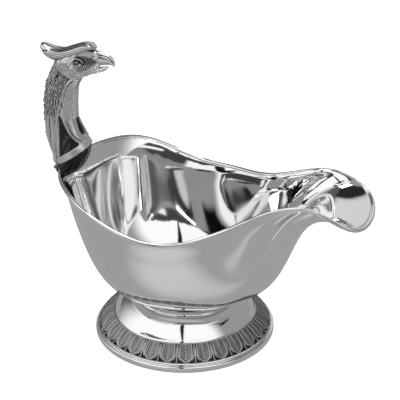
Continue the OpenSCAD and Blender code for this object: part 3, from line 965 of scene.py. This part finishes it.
def build_collar(sizes):
    low, high = collar_foot(), NECK_CUT
    profile = [(0.0, -0.4), (0.0, 0.75), (0.05, 0.95), (0.12, 1.0), (0.5, 1.06), (0.88, 1.0),
               (0.95, 0.95), (1.0, 0.75), (1.0, -0.4)]
    rows = [grown(mix(np.array(low), np.array(high), share), COLLAR_PROUD * proud)
            for share, proud in profile]
    piece = ring_stack("collar_band", oval_rows(rows, 140))
    return finish_piece(piece, satin(), "satin_silver", "handle_collar")


def ribbon_on_neck(name, back_line, front_line, rows, across, proud, rim, side):
    """Leaf lying on one flank between two (x, z) edge lines, crowned, with raised edges."""
    back = open_spline(back_line, rows)
    front = open_spline(front_line, rows)
    base = oval_rows(open_spline(NECK_SECTIONS, 260), 2)
    middle = base.mean(axis=1)
    half_w = open_spline(NECK_SECTIONS, 260)[:, 4]
    half_l = np.linalg.norm(base[:, 0] - base[:, 1], axis=1) / 2
    axis = unit(base[:, 0] - base[:, 1])
    upper, lower, relief = [], [], []
    for j in range(rows):
        t = j / (rows - 1)
        for i in range(across):
            a = i / (across - 1)
            x, z = mix(back[j], front[j], a)
            gap = np.array([x, 0, z]) - middle
            # the neck's section whose plane passes nearest this point
            off_plane = np.abs(np.cross(axis[:, [0, 2]], gap[:, [0, 2]]))
            k = int(np.argmin(off_plane + 0.05 * np.linalg.norm(gap, axis=1)))
            reach = np.clip(float(gap[k] @ axis[k]) / half_l[k], -1, 1)
            y = half_w[k] * math.sqrt(max(0.0, 1 - reach * reach))
            out = unit(np.array([reach / half_l[k] * axis[k][0], y / half_w[k] ** 2,
                                 reach / half_l[k] * axis[k][2]]))
            edge = math.exp(-((a - 0.06) / 0.07) ** 2)
            groove = math.exp(-((a - 0.24) / 0.08) ** 2)
            shown = float(smoother(np.array((t - 0.12) / 0.4)))
            lift = proud * (0.30 + 0.70 * math.sin(math.pi * min(1, a + 0.1)) ** 0.7)
            lift = (lift + rim * edge - 0.8 * rim * groove) * shown - 0.5 * (1 - shown)
            point = np.array([x, y, z])
            upper.append((point + out * (lift + 0.05)) * (1, side, 1))
            lower.append((point - out * 1.9) * (1, side, 1))
            relief.append(1.0 - 0.97 * groove * shown)
    faces = slab_faces(rows, across)
    return outward(new_object(name, upper + lower, faces, relief + [0.3] * len(lower)))


LEAF_BACK_EDGE = [(-74.0, 144.0), (-72.4, 138.0), (-71.2, 134.0), (-69.8, 129.4), (-67.7, 125.4),
                  (-64.8, 121.9), (-61.2, 119.0)]
LEAF_FRONT_EDGE = [(-67.0, 144.0), (-65.8, 138.0), (-64.9, 131.8), (-63.9, 127.8), (-62.3, 123.6),
                   (-60.6, 121.0), (-60.2, 119.6)]


def build_throat_leaves(sizes):
    for side, label in ((1, "left"), (-1, "right")):
        piece = ribbon_on_neck("throat_leaf_" + label + "_piece", LEAF_BACK_EDGE, LEAF_FRONT_EDGE,
                               rows=90, across=40, proud=0.7, rim=0.55, side=side)
        finish_piece(piece, chased(), "polished_silver", "throat_leaf_" + label)


STRAP_SUNK = -1.0
BUD = (-78.3, 99.0)
BUD_HALF = (2.5, 4.2, 3.0)
STRAP_T = 0.9


def strap_plan():
    """Rings of the strap: (section it lies on, angle it starts from, height above the section)."""
    socket, neck = np.array(SOCKET_SECTIONS, float), np.array(NECK_SECTIONS, float)
    foot = np.array(collar_foot())
    return [
        (mix(socket[0], socket[1], 0.3), 171, STRAP_T), (socket[1], 164, 1.9),
        (mix(socket[1], socket[2], 0.8), 164, 1.9), (foot, 144, COLLAR_PROUD + STRAP_T),
        (neck[0], 130, COLLAR_PROUD + STRAP_T), (mix(neck[0], neck[1], 0.2), 124, STRAP_T),
        (neck[1], 106, STRAP_T), (neck[2], 99, STRAP_T * 0.8),
        (mix(neck[2], neck[3], 0.6), 101, STRAP_T / 3),
    ]


def build_bud():
    """Lobed bud that ends the strap behind the rim."""
    rows, shade = [], []
    sides = 48
    around = np.linspace(0, 2 * math.pi, sides, endpoint=False)
    for polar in np.linspace(0.12, math.pi - 0.12, 30):
        lobes = 0.5 + 0.5 * np.cos(around * 5 + 1.1)
        waist = 1 - 0.22 * math.exp(-((polar - 1.75) / 0.16) ** 2)
        swell = (0.86 + 0.14 * lobes) * waist * math.sin(polar)
        rows.append(np.stack([BUD[0] + BUD_HALF[0] * swell * np.cos(around),
                              BUD_HALF[1] * swell * np.sin(around),
                              np.full(sides, BUD[1] + BUD_HALF[2] * math.cos(polar))], axis=1))
        shade.append(np.clip(0.35 + 0.9 * lobes - 1.5 * (1 - waist), 0, 1))
    return ring_stack("strap_bud", rows, shade)


def build_strap(sizes):
    plan = strap_plan()
    rows, sides = 200, 97
    sections = open_spline([p[0] for p in plan], rows)
    starts = open_spline([[p[1]] for p in plan], rows)[:, 0]
    heights = open_spline([[p[2]] for p in plan], rows)[:, 0]
    share = np.linspace(-1, 1, sides)
    from_edge = 1 - np.abs(share)
    skin, relief = [], []
    for k in range(rows):
        t = k / (rows - 1)
        angles = np.radians(mix(starts[k], 360 - starts[k], (share + 1) / 2))
        bud = float(smoother(np.array((0.27 - t) / 0.05)))
        girth = sections[k][4] * math.radians(180 - starts[k])
        gap = from_edge * girth
        rib = ridge(gap - 1.75, 0.62)
        lip = ridge(gap - 0.15, 0.3)
        dark = np.maximum(ridge(gap - 2.95, 0.42), 0.55 * ridge(gap - 0.75, 0.3))
        fine = 0.5 + 0.5 * np.cos(gap * 5.2 + 1.5 * math.sin(t * 30))
        plain = (-0.35 + 0.62 * rib + 0.28 * lip - 0.2 * dark - 0.10 * fine * (gap > 3.4)) * (1 - bud)
        lobes = 0.5 + 0.5 * np.cos(share * math.pi * 2.5)
        swell = bud * (0.35 * lobes * math.cos(t * 40) - 0.5 * np.abs(share) ** 2)
        top = heights[k] + plain + swell
        rim = np.array([grown(sections[k], float(g)) for g in top])
        ring = []
        for by, run in ((rim, range(sides)), (None, range(sides - 1, -1, -1))):
            for i in run:
                sec = by[i] if by is not None else grown(sections[k], STRAP_SUNK)
                c, h = (np.array(sec[0:2]) + sec[2:4]) / 2, (np.array(sec[2:4]) - sec[0:2]) / 2
                x, z = c + h * math.cos(angles[i])
                ring.append((x, sec[4] * math.sin(angles[i]), z))
        skin.append(ring)
        shade = np.clip(0.8 - 0.95 * dark * (1 - bud) + 0.3 * rib - 0.25 * fine * (gap > 3.4), 0, 1)
        shade = shade - bud * 0.75 * (1 - lobes)
        relief.append(np.concatenate([shade, np.zeros(sides)]))
    strap = ring_stack("back_strap_body", skin, np.array(relief))
    piece = join("back_strap_piece", [strap, build_bud()])
    return finish_piece(piece, satin(), "polished_silver", "back_strap")


def root_at(t):
    return tuple(mix(np.array(BEAK_ROOT[0:2]), np.array(BEAK_ROOT[2:4]), t))


RIDGE_LINE = [(-51.5, 173.4), (-48.6, 172.9), (-45.4, 172.2), (-43.0, 170.6), (-41.5, 168.2)]
LOWER_GROOVE = [(-57.6, 159.8), (-50, 162.6), (-45.6, 164.6)]


def carve_upper_beak(xz, flank):
    gap, _ = away_from(RIDGE_LINE, xz)
    groove = ridge(gap, 0.34) * smoother((flank - 0.1) / 0.3)
    return -0.22 * groove, np.clip(1 - 1.0 * groove, 0, 1)


def carve_lower_beak(xz, flank):
    gap, _ = away_from(LOWER_GROOVE, xz)
    groove = ridge(gap, 0.25) * flank
    return -0.15 * groove, np.clip(1 - 0.7 * groove, 0, 1)


def build_beaks(sizes):
    upper = [(*root_at(0.04), *root_at(0.62), 4.4), (-50.5, 174.6, -52, 165.6, 3.6),
             (-46.4, 173.5, -47.4, 166.2, 2.7), (-43, 172, -44.2, 166.6, 1.9),
             (-41.1, 169.8, -42.4, 166.3, 1.1), (-40.7, 166.6, -41.4, 165.6, 0.5)]
    lower = [(*root_at(0.66), *root_at(0.98), 3.8), (-51, 164.8, -51.6, 160.8, 2.7),
             (-46.6, 165.6, -47, 162.6, 1.6), (-44.6, 165.8, -44.8, 164.6, 0.6)]
    piece = sculpted("upper_beak_piece", upper, rows=120, sides=96, carve=carve_upper_beak)
    finish_piece(piece, polished(), "polished_silver", "upper_beak")
    piece = sculpted("lower_beak_piece", lower, rows=60, sides=56, carve=carve_lower_beak)
    finish_piece(piece, polished(), "polished_silver", "lower_beak")


CREST_SECTIONS = [
    (-85.2, 176.8, -85.6, 173.6, 2.6), (-83, 176.9, -82.4, 169.4, 5),
    (-78.5, 175.2, -77, 167.4, 6.6), (-73, 174.4, -71.5, 168.4, 7.5),
    (-66, 176.8, -65.5, 170, 7.5), (-59, 179.2, -59, 172.5, 6.4),
    (-54.6, 178.8, -54.8, 175.6, 5), (-52, 177, -52.2, 175.4, 2.6),
]
SCOOP = [(-80.4, 173.9), (-82.6, 173.4), (-83.7, 171.6), (-82.8, 169.6)]


def carve_crest(xz, flank):
    low = xz[..., 1] - np.interp(xz[..., 0], [s[2] for s in CREST_SECTIONS],
                                 [s[3] for s in CREST_SECTIONS])
    high = np.interp(xz[..., 0], [s[0] for s in CREST_SECTIONS], [s[1] for s in CREST_SECTIONS])
    deep = np.clip(low / np.maximum(high - xz[..., 1] + low, 0.5), 0, 1)
    flutes = 0.5 + 0.5 * np.cos(deep * 2 * math.pi * 5.5 + 0.5 * np.sin(xz[..., 0] * 0.35))
    flutes = flutes * smoother((xz[..., 0] + 82) / 4) * smoother((-53.5 - xz[..., 0]) / 4)
    scoop, _ = away_from(SCOOP, xz)
    line = ridge(scoop, 0.4) * smoother((flank - 0.1) / 0.3)
    edge = smoother((0.16 - deep) / 0.1) * smoother((xz[..., 0] + 80) / 4)
    return (-0.22 * flutes - 0.4 * line + 0.3 * edge,
            np.clip(0.75 - 0.5 * flutes - 0.9 * line + 0.4 * edge, 0, 1))


def build_crest(sizes):
    piece = sculpted("crest_piece", CREST_SECTIONS, rows=200, sides=120, carve=carve_crest)
    return finish_piece(piece, chased(), "satin_silver", "crest")


# ---------------------------------------------------------------------------
# Stage: pale floor, one soft box, surroundings to reflect, and the camera
# ---------------------------------------------------------------------------

CAMERA_TURN = math.radians(15)
CAMERA_TILT = math.radians(25.81)
CAMERA_SIDE, CAMERA_BACK, CAMERA_UP = 0.00935, 0.7057, 0.4273
CAMERA_LENS, CAMERA_SENSOR = 118.9, 36

# Surroundings in degrees: turn from straight in front, rise above the horizon
FRONT_FADE = (75, 130)
RIGHT_FADE = (62, 86)
SEAM_TURN, SEAM_LEAN, SEAM_LEAST_HALF = 14.6, -0.10, 0.8
SKYLINE_RISE, SKYLINE_FALL, SKYLINE_FALL_FROM, SKYLINE_FALL_TO = 27, -34, 40, 92
ROOF_FROM, ROOF_TO = 66, 74
REAR_GLOW = 0.64
FLOOR_HALF = 4000


def math_node(tree, operation, *inputs):
    node = tree.nodes.new("ShaderNodeMath")
    node.operation = operation
    for i, value in enumerate(inputs):
        if isinstance(value, (int, float)):
            node.inputs[i].default_value = value
        else:
            tree.links.new(value, node.inputs[i])
    return node.outputs["Value"]


def step_up(tree, value, low, high):
    """0 below low, 1 above high, smooth between."""
    node = tree.nodes.new("ShaderNodeMapRange")
    node.interpolation_type = "SMOOTHSTEP"
    node.inputs["From Min"].default_value = low
    node.inputs["From Max"].default_value = high
    tree.links.new(value, node.inputs["Value"])
    return node.outputs["Result"]


def blend(tree, share, low, high):
    """low where share is 0 and high where it is 1."""
    node = tree.nodes.new("ShaderNodeMix")
    for socket, value in zip((node.inputs[0], node.inputs[2], node.inputs[3]), (share, low, high)):
        if isinstance(value, (int, float)):
            socket.default_value = value
        else:
            tree.links.new(value, socket)
    return node.outputs[0]


def cloud(tree, place, scale, detail, offset):
    """Noise of that scale over the directions, shifted by offset."""
    shift = tree.nodes.new("ShaderNodeMapping")
    shift.inputs["Location"].default_value = (offset, offset * 0.7, -offset)
    noise = tree.nodes.new("ShaderNodeTexNoise")
    noise.inputs["Scale"].default_value = scale
    noise.inputs["Detail"].default_value = detail
    tree.links.new(place, shift.inputs["Vector"])
    tree.links.new(shift.outputs["Vector"], noise.inputs["Vector"])
    return noise.outputs["Fac"]


def band(tree, value, centre, half, soft):
    """1 within half of centre and 0 further off. centre and half may be sockets."""
    gap = math_node(tree, "ABSOLUTE", math_node(tree, "SUBTRACT", value, centre))
    return step_up(tree, math_node(tree, "SUBTRACT", half, gap), -soft, soft)


def build_world(look):
    """Plain white in direct view. Only what the silver reflects shows the rest: white boxes in front,
    split by a dark seam, a dark uneven skyline below them, a low light behind and streaks overhead.
    """
    world = bpy.data.worlds.new("studio")
    bpy.context.scene.world = world
    world.use_nodes = True
    tree = world.node_tree
    tree.nodes.clear()
    out = tree.nodes.new("ShaderNodeOutputWorld")
    place = tree.nodes.new("ShaderNodeTexCoord").outputs["Generated"]
    split = tree.nodes.new("ShaderNodeSeparateXYZ")
    tree.links.new(place, split.inputs["Vector"])
    behind = math_node(tree, "MULTIPLY", split.outputs["Y"], -1)
    turn = math_node(tree, "DEGREES", math_node(tree, "ARCTAN2", split.outputs["X"], behind))
    rise = math_node(tree, "DEGREES", math_node(tree, "ARCSINE", split.outputs["Z"]))
    off_front = math_node(tree, "ABSOLUTE", turn)

    rear = step_up(tree, off_front, *FRONT_FADE)
    boxes = blend(tree, rear, 1.0, 0.10)
    boxes = blend(tree, step_up(tree, turn, *RIGHT_FADE), boxes, 0.30)
    seam_centre = math_node(tree, "MULTIPLY_ADD", rise, SEAM_LEAN, SEAM_TURN)
    seam_half = math_node(tree, "MAXIMUM", math_node(tree, "MULTIPLY_ADD", rise, 0.12, -2.2),
                          SEAM_LEAST_HALF)
    boxes = blend(tree, band(tree, turn, seam_centre, seam_half, 0.8), boxes, 0.0)
    boxes = blend(tree, math_node(tree, "MULTIPLY", band(tree, turn, 97, 11, 4.0),
                                  step_up(tree, rise, 33, 38)), boxes, 0.0)
    boxes = blend(tree, math_node(tree, "MULTIPLY", step_up(tree, off_front, 146, 158),
                                  step_up(tree, rise, 35, 39)), boxes, 0.02)

    jag = math_node(tree, "SUBTRACT", cloud(tree, place, 4.2, 4, 0.0), 0.5)
    to_side = step_up(tree, off_front, SKYLINE_FALL_FROM, SKYLINE_FALL_TO)
    skyline = math_node(tree, "MULTIPLY_ADD", to_side, SKYLINE_FALL, SKYLINE_RISE)
    skyline = math_node(tree, "MULTIPLY_ADD", jag, 13, skyline)
    above = step_up(tree, math_node(tree, "SUBTRACT", rise, skyline), -0.7, 0.7)
    low = step_up(tree, math_node(tree, "MULTIPLY_ADD", jag, 12, rise), 9, 11)
    ground = blend(tree, low, 0.24, 0.05)
    streak_rise = math_node(tree, "MULTIPLY_ADD", turn, -0.17, 24.5)
    streak = math_node(tree, "MULTIPLY", band(tree, rise, streak_rise, 2.0, 0.8),
                       band(tree, turn, 57, 30, 3))
    patch_rise = math_node(tree, "MULTIPLY_ADD", jag, 9, 14)
    patch = math_node(tree, "MULTIPLY", band(tree, rise, patch_rise, 6.0, 0.8),
                      band(tree, turn, -28, 24, 3))
    ground = blend(tree, math_node(tree, "MAXIMUM", streak, patch), ground, 0.95)
    level = blend(tree, above, ground, boxes)
    glow = math_node(tree, "MULTIPLY", band(tree, off_front, 180, 24, 7),
                     band(tree, math_node(tree, "MULTIPLY_ADD", jag, 5, rise), 24, 12, 3))
    level = blend(tree, glow, level, REAR_GLOW)
    roof = step_up(tree, rise, ROOF_FROM, ROOF_TO)
    streaks = math_node(tree, "MULTIPLY", step_up(tree, off_front, 125, 105),
                        step_up(tree, cloud(tree, place, 3.6, 1, 9.0), 0.47, 0.52))
    level = blend(tree, roof, level, blend(tree, streaks, 0.04, 0.9))

    room = tree.nodes.new("ShaderNodeBackground")
    tree.links.new(math_node(tree, "MULTIPLY", level, look.room_light), room.inputs["Color"])
    backdrop = tree.nodes.new("ShaderNodeBackground")
    backdrop.inputs["Color"].default_value = (1, 1, 1, 1)
    rays = tree.nodes.new("ShaderNodeLightPath")
    choose = tree.nodes.new("ShaderNodeMixShader")
    tree.links.new(rays.outputs["Is Camera Ray"], choose.inputs[0])
    tree.links.new(room.outputs[0], choose.inputs[1])
    tree.links.new(backdrop.outputs[0], choose.inputs[2])
    tree.links.new(choose.outputs[0], out.inputs["Surface"])


def floor_finish(look):
    """Pale paper in direct view. What the silver reflects shows mid grey with soft pools of light."""
    mat = bpy.data.materials.new("pale_floor")
    mat.use_nodes = True
    tree = mat.node_tree
    tree.nodes.clear()
    out = tree.nodes.new("ShaderNodeOutputMaterial")
    place = tree.nodes.new("ShaderNodeTexCoord").outputs["Object"]
    paper = tree.nodes.new("ShaderNodeBsdfDiffuse")
    tone = blend(tree, cloud(tree, place, 60, 2, 0.0), look.floor_tone - 0.02, look.floor_tone)
    tree.links.new(tone, paper.inputs["Color"])
    seen = tree.nodes.new("ShaderNodeEmission")
    seen.inputs["Strength"].default_value = look.floor_glow
    direct = tree.nodes.new("ShaderNodeAddShader")
    tree.links.new(paper.outputs[0], direct.inputs[0])
    tree.links.new(seen.outputs[0], direct.inputs[1])
    mirrored = tree.nodes.new("ShaderNodeEmission")
    split = tree.nodes.new("ShaderNodeSeparateXYZ")
    tree.links.new(place, split.inputs["Vector"])
    x, y = split.outputs["X"], split.outputs["Y"]

    def pool(x_at, y_at, half_x, half_y):
        """Soft pool of light on the floor, 1 at its middle."""
        u = math_node(tree, "MULTIPLY", math_node(tree, "SUBTRACT", x, x_at), 1 / half_x)
        v = math_node(tree, "MULTIPLY", math_node(tree, "SUBTRACT", y, y_at), 1 / half_y)
        reach = math_node(tree, "ADD", math_node(tree, "MULTIPLY", u, u),
                          math_node(tree, "MULTIPLY", v, v))
        return step_up(tree, reach, 1.0, 0.0)

    # Painted light seen only in the silver: a slanting lighter strip on the floor, and a bright glowing
    # patch towards the camera that the head and beak reflect
    slant = math_node(tree, "MULTIPLY_ADD", y, -0.75, 0.024)
    ribbon = math_node(tree, "MULTIPLY", band(tree, x, slant, 0.017, 0.012),
                       step_up(tree, y, -0.115, -0.150))
    shade = blend(tree, pool(0.015, -0.095, 0.085, 0.045), look.floor_mirrored,
                  look.floor_mirrored + 0.24)
    shade = math_node(tree, "MULTIPLY_ADD", ribbon, 0.14, shade)
    shade = math_node(tree, "MULTIPLY_ADD", pool(-0.17, -0.28, 0.10, 0.16), 0.13, shade)
    far_light_patch = math_node(tree, "MULTIPLY", band(tree, x, -0.12, 0.12, 0.04),
                         band(tree, y, -0.42, 0.085, 0.02))
    shade = math_node(tree, "MULTIPLY_ADD", far_light_patch, 0.50, shade)
    tree.links.new(shade, mirrored.inputs["Strength"])
    rays = tree.nodes.new("ShaderNodeLightPath")
    choose = tree.nodes.new("ShaderNodeMixShader")
    tree.links.new(rays.outputs["Is Camera Ray"], choose.inputs[0])
    tree.links.new(mirrored.outputs[0], choose.inputs[1])
    tree.links.new(direct.outputs[0], choose.inputs[2])
    tree.links.new(choose.outputs[0], out.inputs["Surface"])
    return mat


def soft_box(name, place, target, size, power):
    light = bpy.data.lights.new(name, "AREA")
    light.shape = "RECTANGLE"
    light.size, light.size_y = size
    light.energy = power
    obj = bpy.data.objects.new(name, light)
    obj.location = place
    obj.rotation_euler = (Vector(target) - Vector(place)).to_track_quat("-Z", "Y").to_euler()
    bpy.context.scene.collection.objects.link(obj)
    return obj


def build_camera():
    right = Vector((math.cos(CAMERA_TURN), math.sin(CAMERA_TURN), 0))
    ahead = Vector((-math.sin(CAMERA_TURN), math.cos(CAMERA_TURN), 0))
    data = bpy.data.cameras.new("camera")
    data.lens, data.sensor_width = CAMERA_LENS, CAMERA_SENSOR
    data.clip_start, data.clip_end = 0.05, 50
    camera = bpy.data.objects.new("camera", data)
    camera.location = right * CAMERA_SIDE - ahead * CAMERA_BACK + Vector((0, 0, CAMERA_UP))
    camera.rotation_euler = Euler((math.pi / 2 - CAMERA_TILT, 0, CAMERA_TURN))
    bpy.context.scene.collection.objects.link(camera)
    bpy.context.scene.camera = camera


def build_stage(look):
    scene = bpy.context.scene
    scene.view_settings.view_transform = "Standard"
    scene.view_settings.look = "None"
    build_world(look)
    h = FLOOR_HALF
    floor = new_object("floor", [(-h, -h, 0), (h, -h, 0), (h, h, 0), (-h, h, 0)], [(0, 1, 2, 3)])
    floor.data.materials.append(floor_finish(look))
    soft_box("top_box", (0.1, 0.35, 1.3), (0, 0, 0.08), (0.5, 0.3), look.top_power)
    build_camera()


# ---------------------------------------------------------------------------
# Sizes, finishes and light that a user would change
# ---------------------------------------------------------------------------

class BoatSizes(bpy.types.PropertyGroup):
    """Sizes of the boat's sheet, band, border and feathers."""
    wall: FloatProperty(name="Wall", description="Thickness of the bowl's sheet",
                        default=0.0015, min=0.0012, max=0.002, unit="LENGTH")
    lip_flare: FloatProperty(name="Lip flare", description="How far the lip stands out",
                             default=0.0022, min=0.001, max=0.003, unit="LENGTH")
    band_swell: FloatProperty(name="Band swell", description="Rim band past each face of the sheet",
                              default=0.00055, min=0.0003, max=0.0009, unit="LENGTH")
    band_height: FloatProperty(name="Band height", description="Rim band above the sheet's edge",
                               default=0.0017, min=0.0012, max=0.0024, unit="LENGTH")
    rest_width: FloatProperty(name="Rest width", description="Width of the foot's flat ring",
                              default=0.0024, min=0.0018, max=0.003, unit="LENGTH")
    sheet: FloatProperty(name="Foot sheet", description="Thickness of the foot's sheet",
                         default=0.0014, min=0.0012, max=0.002, unit="LENGTH")
    leaves: IntProperty(name="Leaves", description="Leaves round the foot", default=29,
                        min=20, max=40)
    first_leaf: FloatProperty(name="First leaf", description="Where the first leaf stands",
                              default=math.radians(-73.6), subtype="ANGLE", unit="ROTATION")
    leaf_depth: FloatProperty(name="Leaf depth", description="Height of the leaf relief",
                              default=0.0008, min=0.0003, max=0.0015, unit="LENGTH")
    bead_radius: FloatProperty(name="Bead radius", description="Radius of the border's beads",
                               default=0.0007, min=0.0004, max=0.0012, unit="LENGTH")
    feather_length: FloatProperty(name="Feather length", description="Length of a neck feather",
                                  default=0.0062, min=0.004, max=0.009, unit="LENGTH")
    feather_width: FloatProperty(name="Feather width", description="Width of a neck feather",
                                 default=0.0034, min=0.002, max=0.005, unit="LENGTH")


class BoatFinish(bpy.types.PropertyGroup):
    """Colours and polish of the silver."""
    silver: FloatVectorProperty(name="Silver", description="Colour of the polished silver",
                                default=(0.90, 0.90, 0.905), min=0, max=1, subtype="COLOR")
    satin: FloatVectorProperty(name="Satin", description="Colour of the satin silver",
                               default=(0.78, 0.78, 0.785), min=0, max=1, subtype="COLOR")
    chased: FloatVectorProperty(name="Chased silver", description="Colour of the neck and head",
                                default=(0.74, 0.74, 0.745), min=0, max=1, subtype="COLOR")
    relief: FloatVectorProperty(name="Relief", description="Colour of the raised leaves",
                                default=(0.46, 0.46, 0.465), min=0, max=1, subtype="COLOR")
    tarnish: FloatVectorProperty(name="Tarnish", description="Colour in the darkened recesses",
                                 default=(0.035, 0.035, 0.037), min=0, max=1, subtype="COLOR")
    polish: FloatProperty(name="Roughness", description="Roughness of the polished silver",
                          default=0.05, min=0.0, max=0.4, subtype="FACTOR")
    satin_polish: FloatProperty(name="Satin roughness", description="Roughness of the satin silver",
                                default=0.30, min=0.1, max=0.6, subtype="FACTOR")


class BoatLook(bpy.types.PropertyGroup):
    """Light and floor of the stage."""
    room_light: FloatProperty(name="Room light", description="Strength of the surroundings",
                              default=1.1, min=0, max=3)
    top_power: FloatProperty(name="Top box", description="Power of the box overhead",
                             default=3.0, min=0, max=200, unit="POWER")
    floor_tone: FloatProperty(name="Floor tone", description="Brightness of the floor's paper",
                              default=0.86, min=0, max=1, subtype="FACTOR")
    floor_glow: FloatProperty(name="Floor glow", description="Light added to the floor in view",
                              default=0.85, min=0, max=2)
    floor_mirrored: FloatProperty(name="Mirrored floor", description="Floor as the silver shows it",
                                  default=0.37, min=0, max=2)


class BOAT_OT_stage(bpy.types.Operator):
    """Set up the floor, the light and the camera"""
    bl_idname = "boat.stage"
    bl_label = "Stage"

    def execute(self, context):
        build_stage(context.scene.boat_look)
        return {"FINISHED"}


class BOAT_OT_bowl(bpy.types.Operator):
    """Build the bowl with its pouring lip"""
    bl_idname = "boat.bowl"
    bl_label = "Bowl"

    def execute(self, context):
        build_bowl(context.scene.boat_sizes)
        return {"FINISHED"}


class BOAT_OT_rim_band(bpy.types.Operator):
    """Build the rounded band along the bowl's rim"""
    bl_idname = "boat.rim_band"
    bl_label = "Rim band"

    def execute(self, context):
        build_rim_band(context.scene.boat_sizes)
        return {"FINISHED"}


class BOAT_OT_foot_dome(bpy.types.Operator):
    """Turn the polished dome of the foot"""
    bl_idname = "boat.foot_dome"
    bl_label = "Foot dome"

    def execute(self, context):
        build_foot_dome(context.scene.boat_sizes)
        return {"FINISHED"}


class BOAT_OT_leaf_border(bpy.types.Operator):
    """Repeat the leaves, darts and beads round the foot"""
    bl_idname = "boat.leaf_border"
    bl_label = "Leaf border"

    def execute(self, context):
        build_leaf_border(context.scene.boat_sizes)
        return {"FINISHED"}


class BOAT_OT_edge_moulding(bpy.types.Operator):
    """Turn the plain moulding round the foot's edge"""
    bl_idname = "boat.edge_moulding"
    bl_label = "Foot edge"

    def execute(self, context):
        build_edge_moulding(context.scene.boat_sizes)
        return {"FINISHED"}


class BOAT_OT_socket(bpy.types.Operator):
    """Build the polished socket that joins the handle to the bowl, its colour painted near black as
    shade
    """
    bl_idname = "boat.socket"
    bl_label = "Handle socket"

    def execute(self, context):
        build_socket(context.scene.boat_sizes)
        return {"FINISHED"}


class BOAT_OT_collar(bpy.types.Operator):
    """Build the satin collar under the neck"""
    bl_idname = "boat.collar"
    bl_label = "Handle collar"

    def execute(self, context):
        build_collar(context.scene.boat_sizes)
        return {"FINISHED"}


class BOAT_OT_neck(bpy.types.Operator):
    """Build the neck with its chased recesses"""
    bl_idname = "boat.neck"
    bl_label = "Neck"

    def execute(self, context):
        build_neck(context.scene.boat_sizes)
        return {"FINISHED"}


class BOAT_OT_feathers(bpy.types.Operator):
    """Lay the feathers down the back and flanks of the neck"""
    bl_idname = "boat.feathers"
    bl_label = "Neck feathers"

    def execute(self, context):
        build_feathers(context.scene.boat_sizes)
        return {"FINISHED"}


class BOAT_OT_throat_leaves(bpy.types.Operator):
    """Build the leaf on each side of the throat"""
    bl_idname = "boat.throat_leaves"
    bl_label = "Throat leaves"

    def execute(self, context):
        build_throat_leaves(context.scene.boat_sizes)
        return {"FINISHED"}


class BOAT_OT_strap(bpy.types.Operator):
    """Build the fluted strap and bud down the back of the neck"""
    bl_idname = "boat.strap"
    bl_label = "Back strap"

    def execute(self, context):
        build_strap(context.scene.boat_sizes)
        return {"FINISHED"}


class BOAT_OT_head(bpy.types.Operator):
    """Build the bird's head with its eyes, brow and cheeks"""
    bl_idname = "boat.head"
    bl_label = "Bird's head"

    def execute(self, context):
        build_head(context.scene.boat_sizes)
        return {"FINISHED"}


class BOAT_OT_beaks(bpy.types.Operator):
    """Build the upper and lower beak"""
    bl_idname = "boat.beaks"
    bl_label = "Beak"

    def execute(self, context):
        build_beaks(context.scene.boat_sizes)
        return {"FINISHED"}


class BOAT_OT_crest(bpy.types.Operator):
    """Build the swept-back crest"""
    bl_idname = "boat.crest"
    bl_label = "Crest"

    def execute(self, context):
        build_crest(context.scene.boat_sizes)
        return {"FINISHED"}


OPERATORS = (
    BOAT_OT_stage, BOAT_OT_bowl, BOAT_OT_rim_band, BOAT_OT_foot_dome, BOAT_OT_leaf_border,
    BOAT_OT_edge_moulding, BOAT_OT_socket, BOAT_OT_collar, BOAT_OT_neck, BOAT_OT_feathers,
    BOAT_OT_throat_leaves, BOAT_OT_strap, BOAT_OT_head, BOAT_OT_beaks, BOAT_OT_crest,
)


class BOAT_PT_panel(bpy.types.Panel):
    """Lists the boat's sizes, finishes and pieces."""
    bl_idname = "BOAT_PT_panel"
    bl_label = "Sauce boat"
    bl_space_type = "VIEW_3D"
    bl_region_type = "UI"
    bl_category = "Sauce boat"

    def draw(self, context):
        scene = context.scene
        for group in (scene.boat_sizes, scene.boat_finish, scene.boat_look):
            box = self.layout.box()
            for label in group.__annotations__:
                box.prop(group, label)
        for operator in OPERATORS:
            self.layout.operator(operator.bl_idname)


CLASSES = (BoatSizes, BoatFinish, BoatLook, *OPERATORS, BOAT_PT_panel)


def register():
    for cls in CLASSES:
        bpy.utils.register_class(cls)
    bpy.types.Scene.boat_sizes = PointerProperty(type=BoatSizes)
    bpy.types.Scene.boat_finish = PointerProperty(type=BoatFinish)
    bpy.types.Scene.boat_look = PointerProperty(type=BoatLook)


def unregister():
    del bpy.types.Scene.boat_look
    del bpy.types.Scene.boat_finish
    del bpy.types.Scene.boat_sizes
    for cls in reversed(CLASSES):
        bpy.utils.unregister_class(cls)


def main():
    register()
    for operator in OPERATORS:
        family, name = operator.bl_idname.split(".")
        getattr(getattr(bpy.ops, family), name)()


if __name__ == "__main__":
    main()
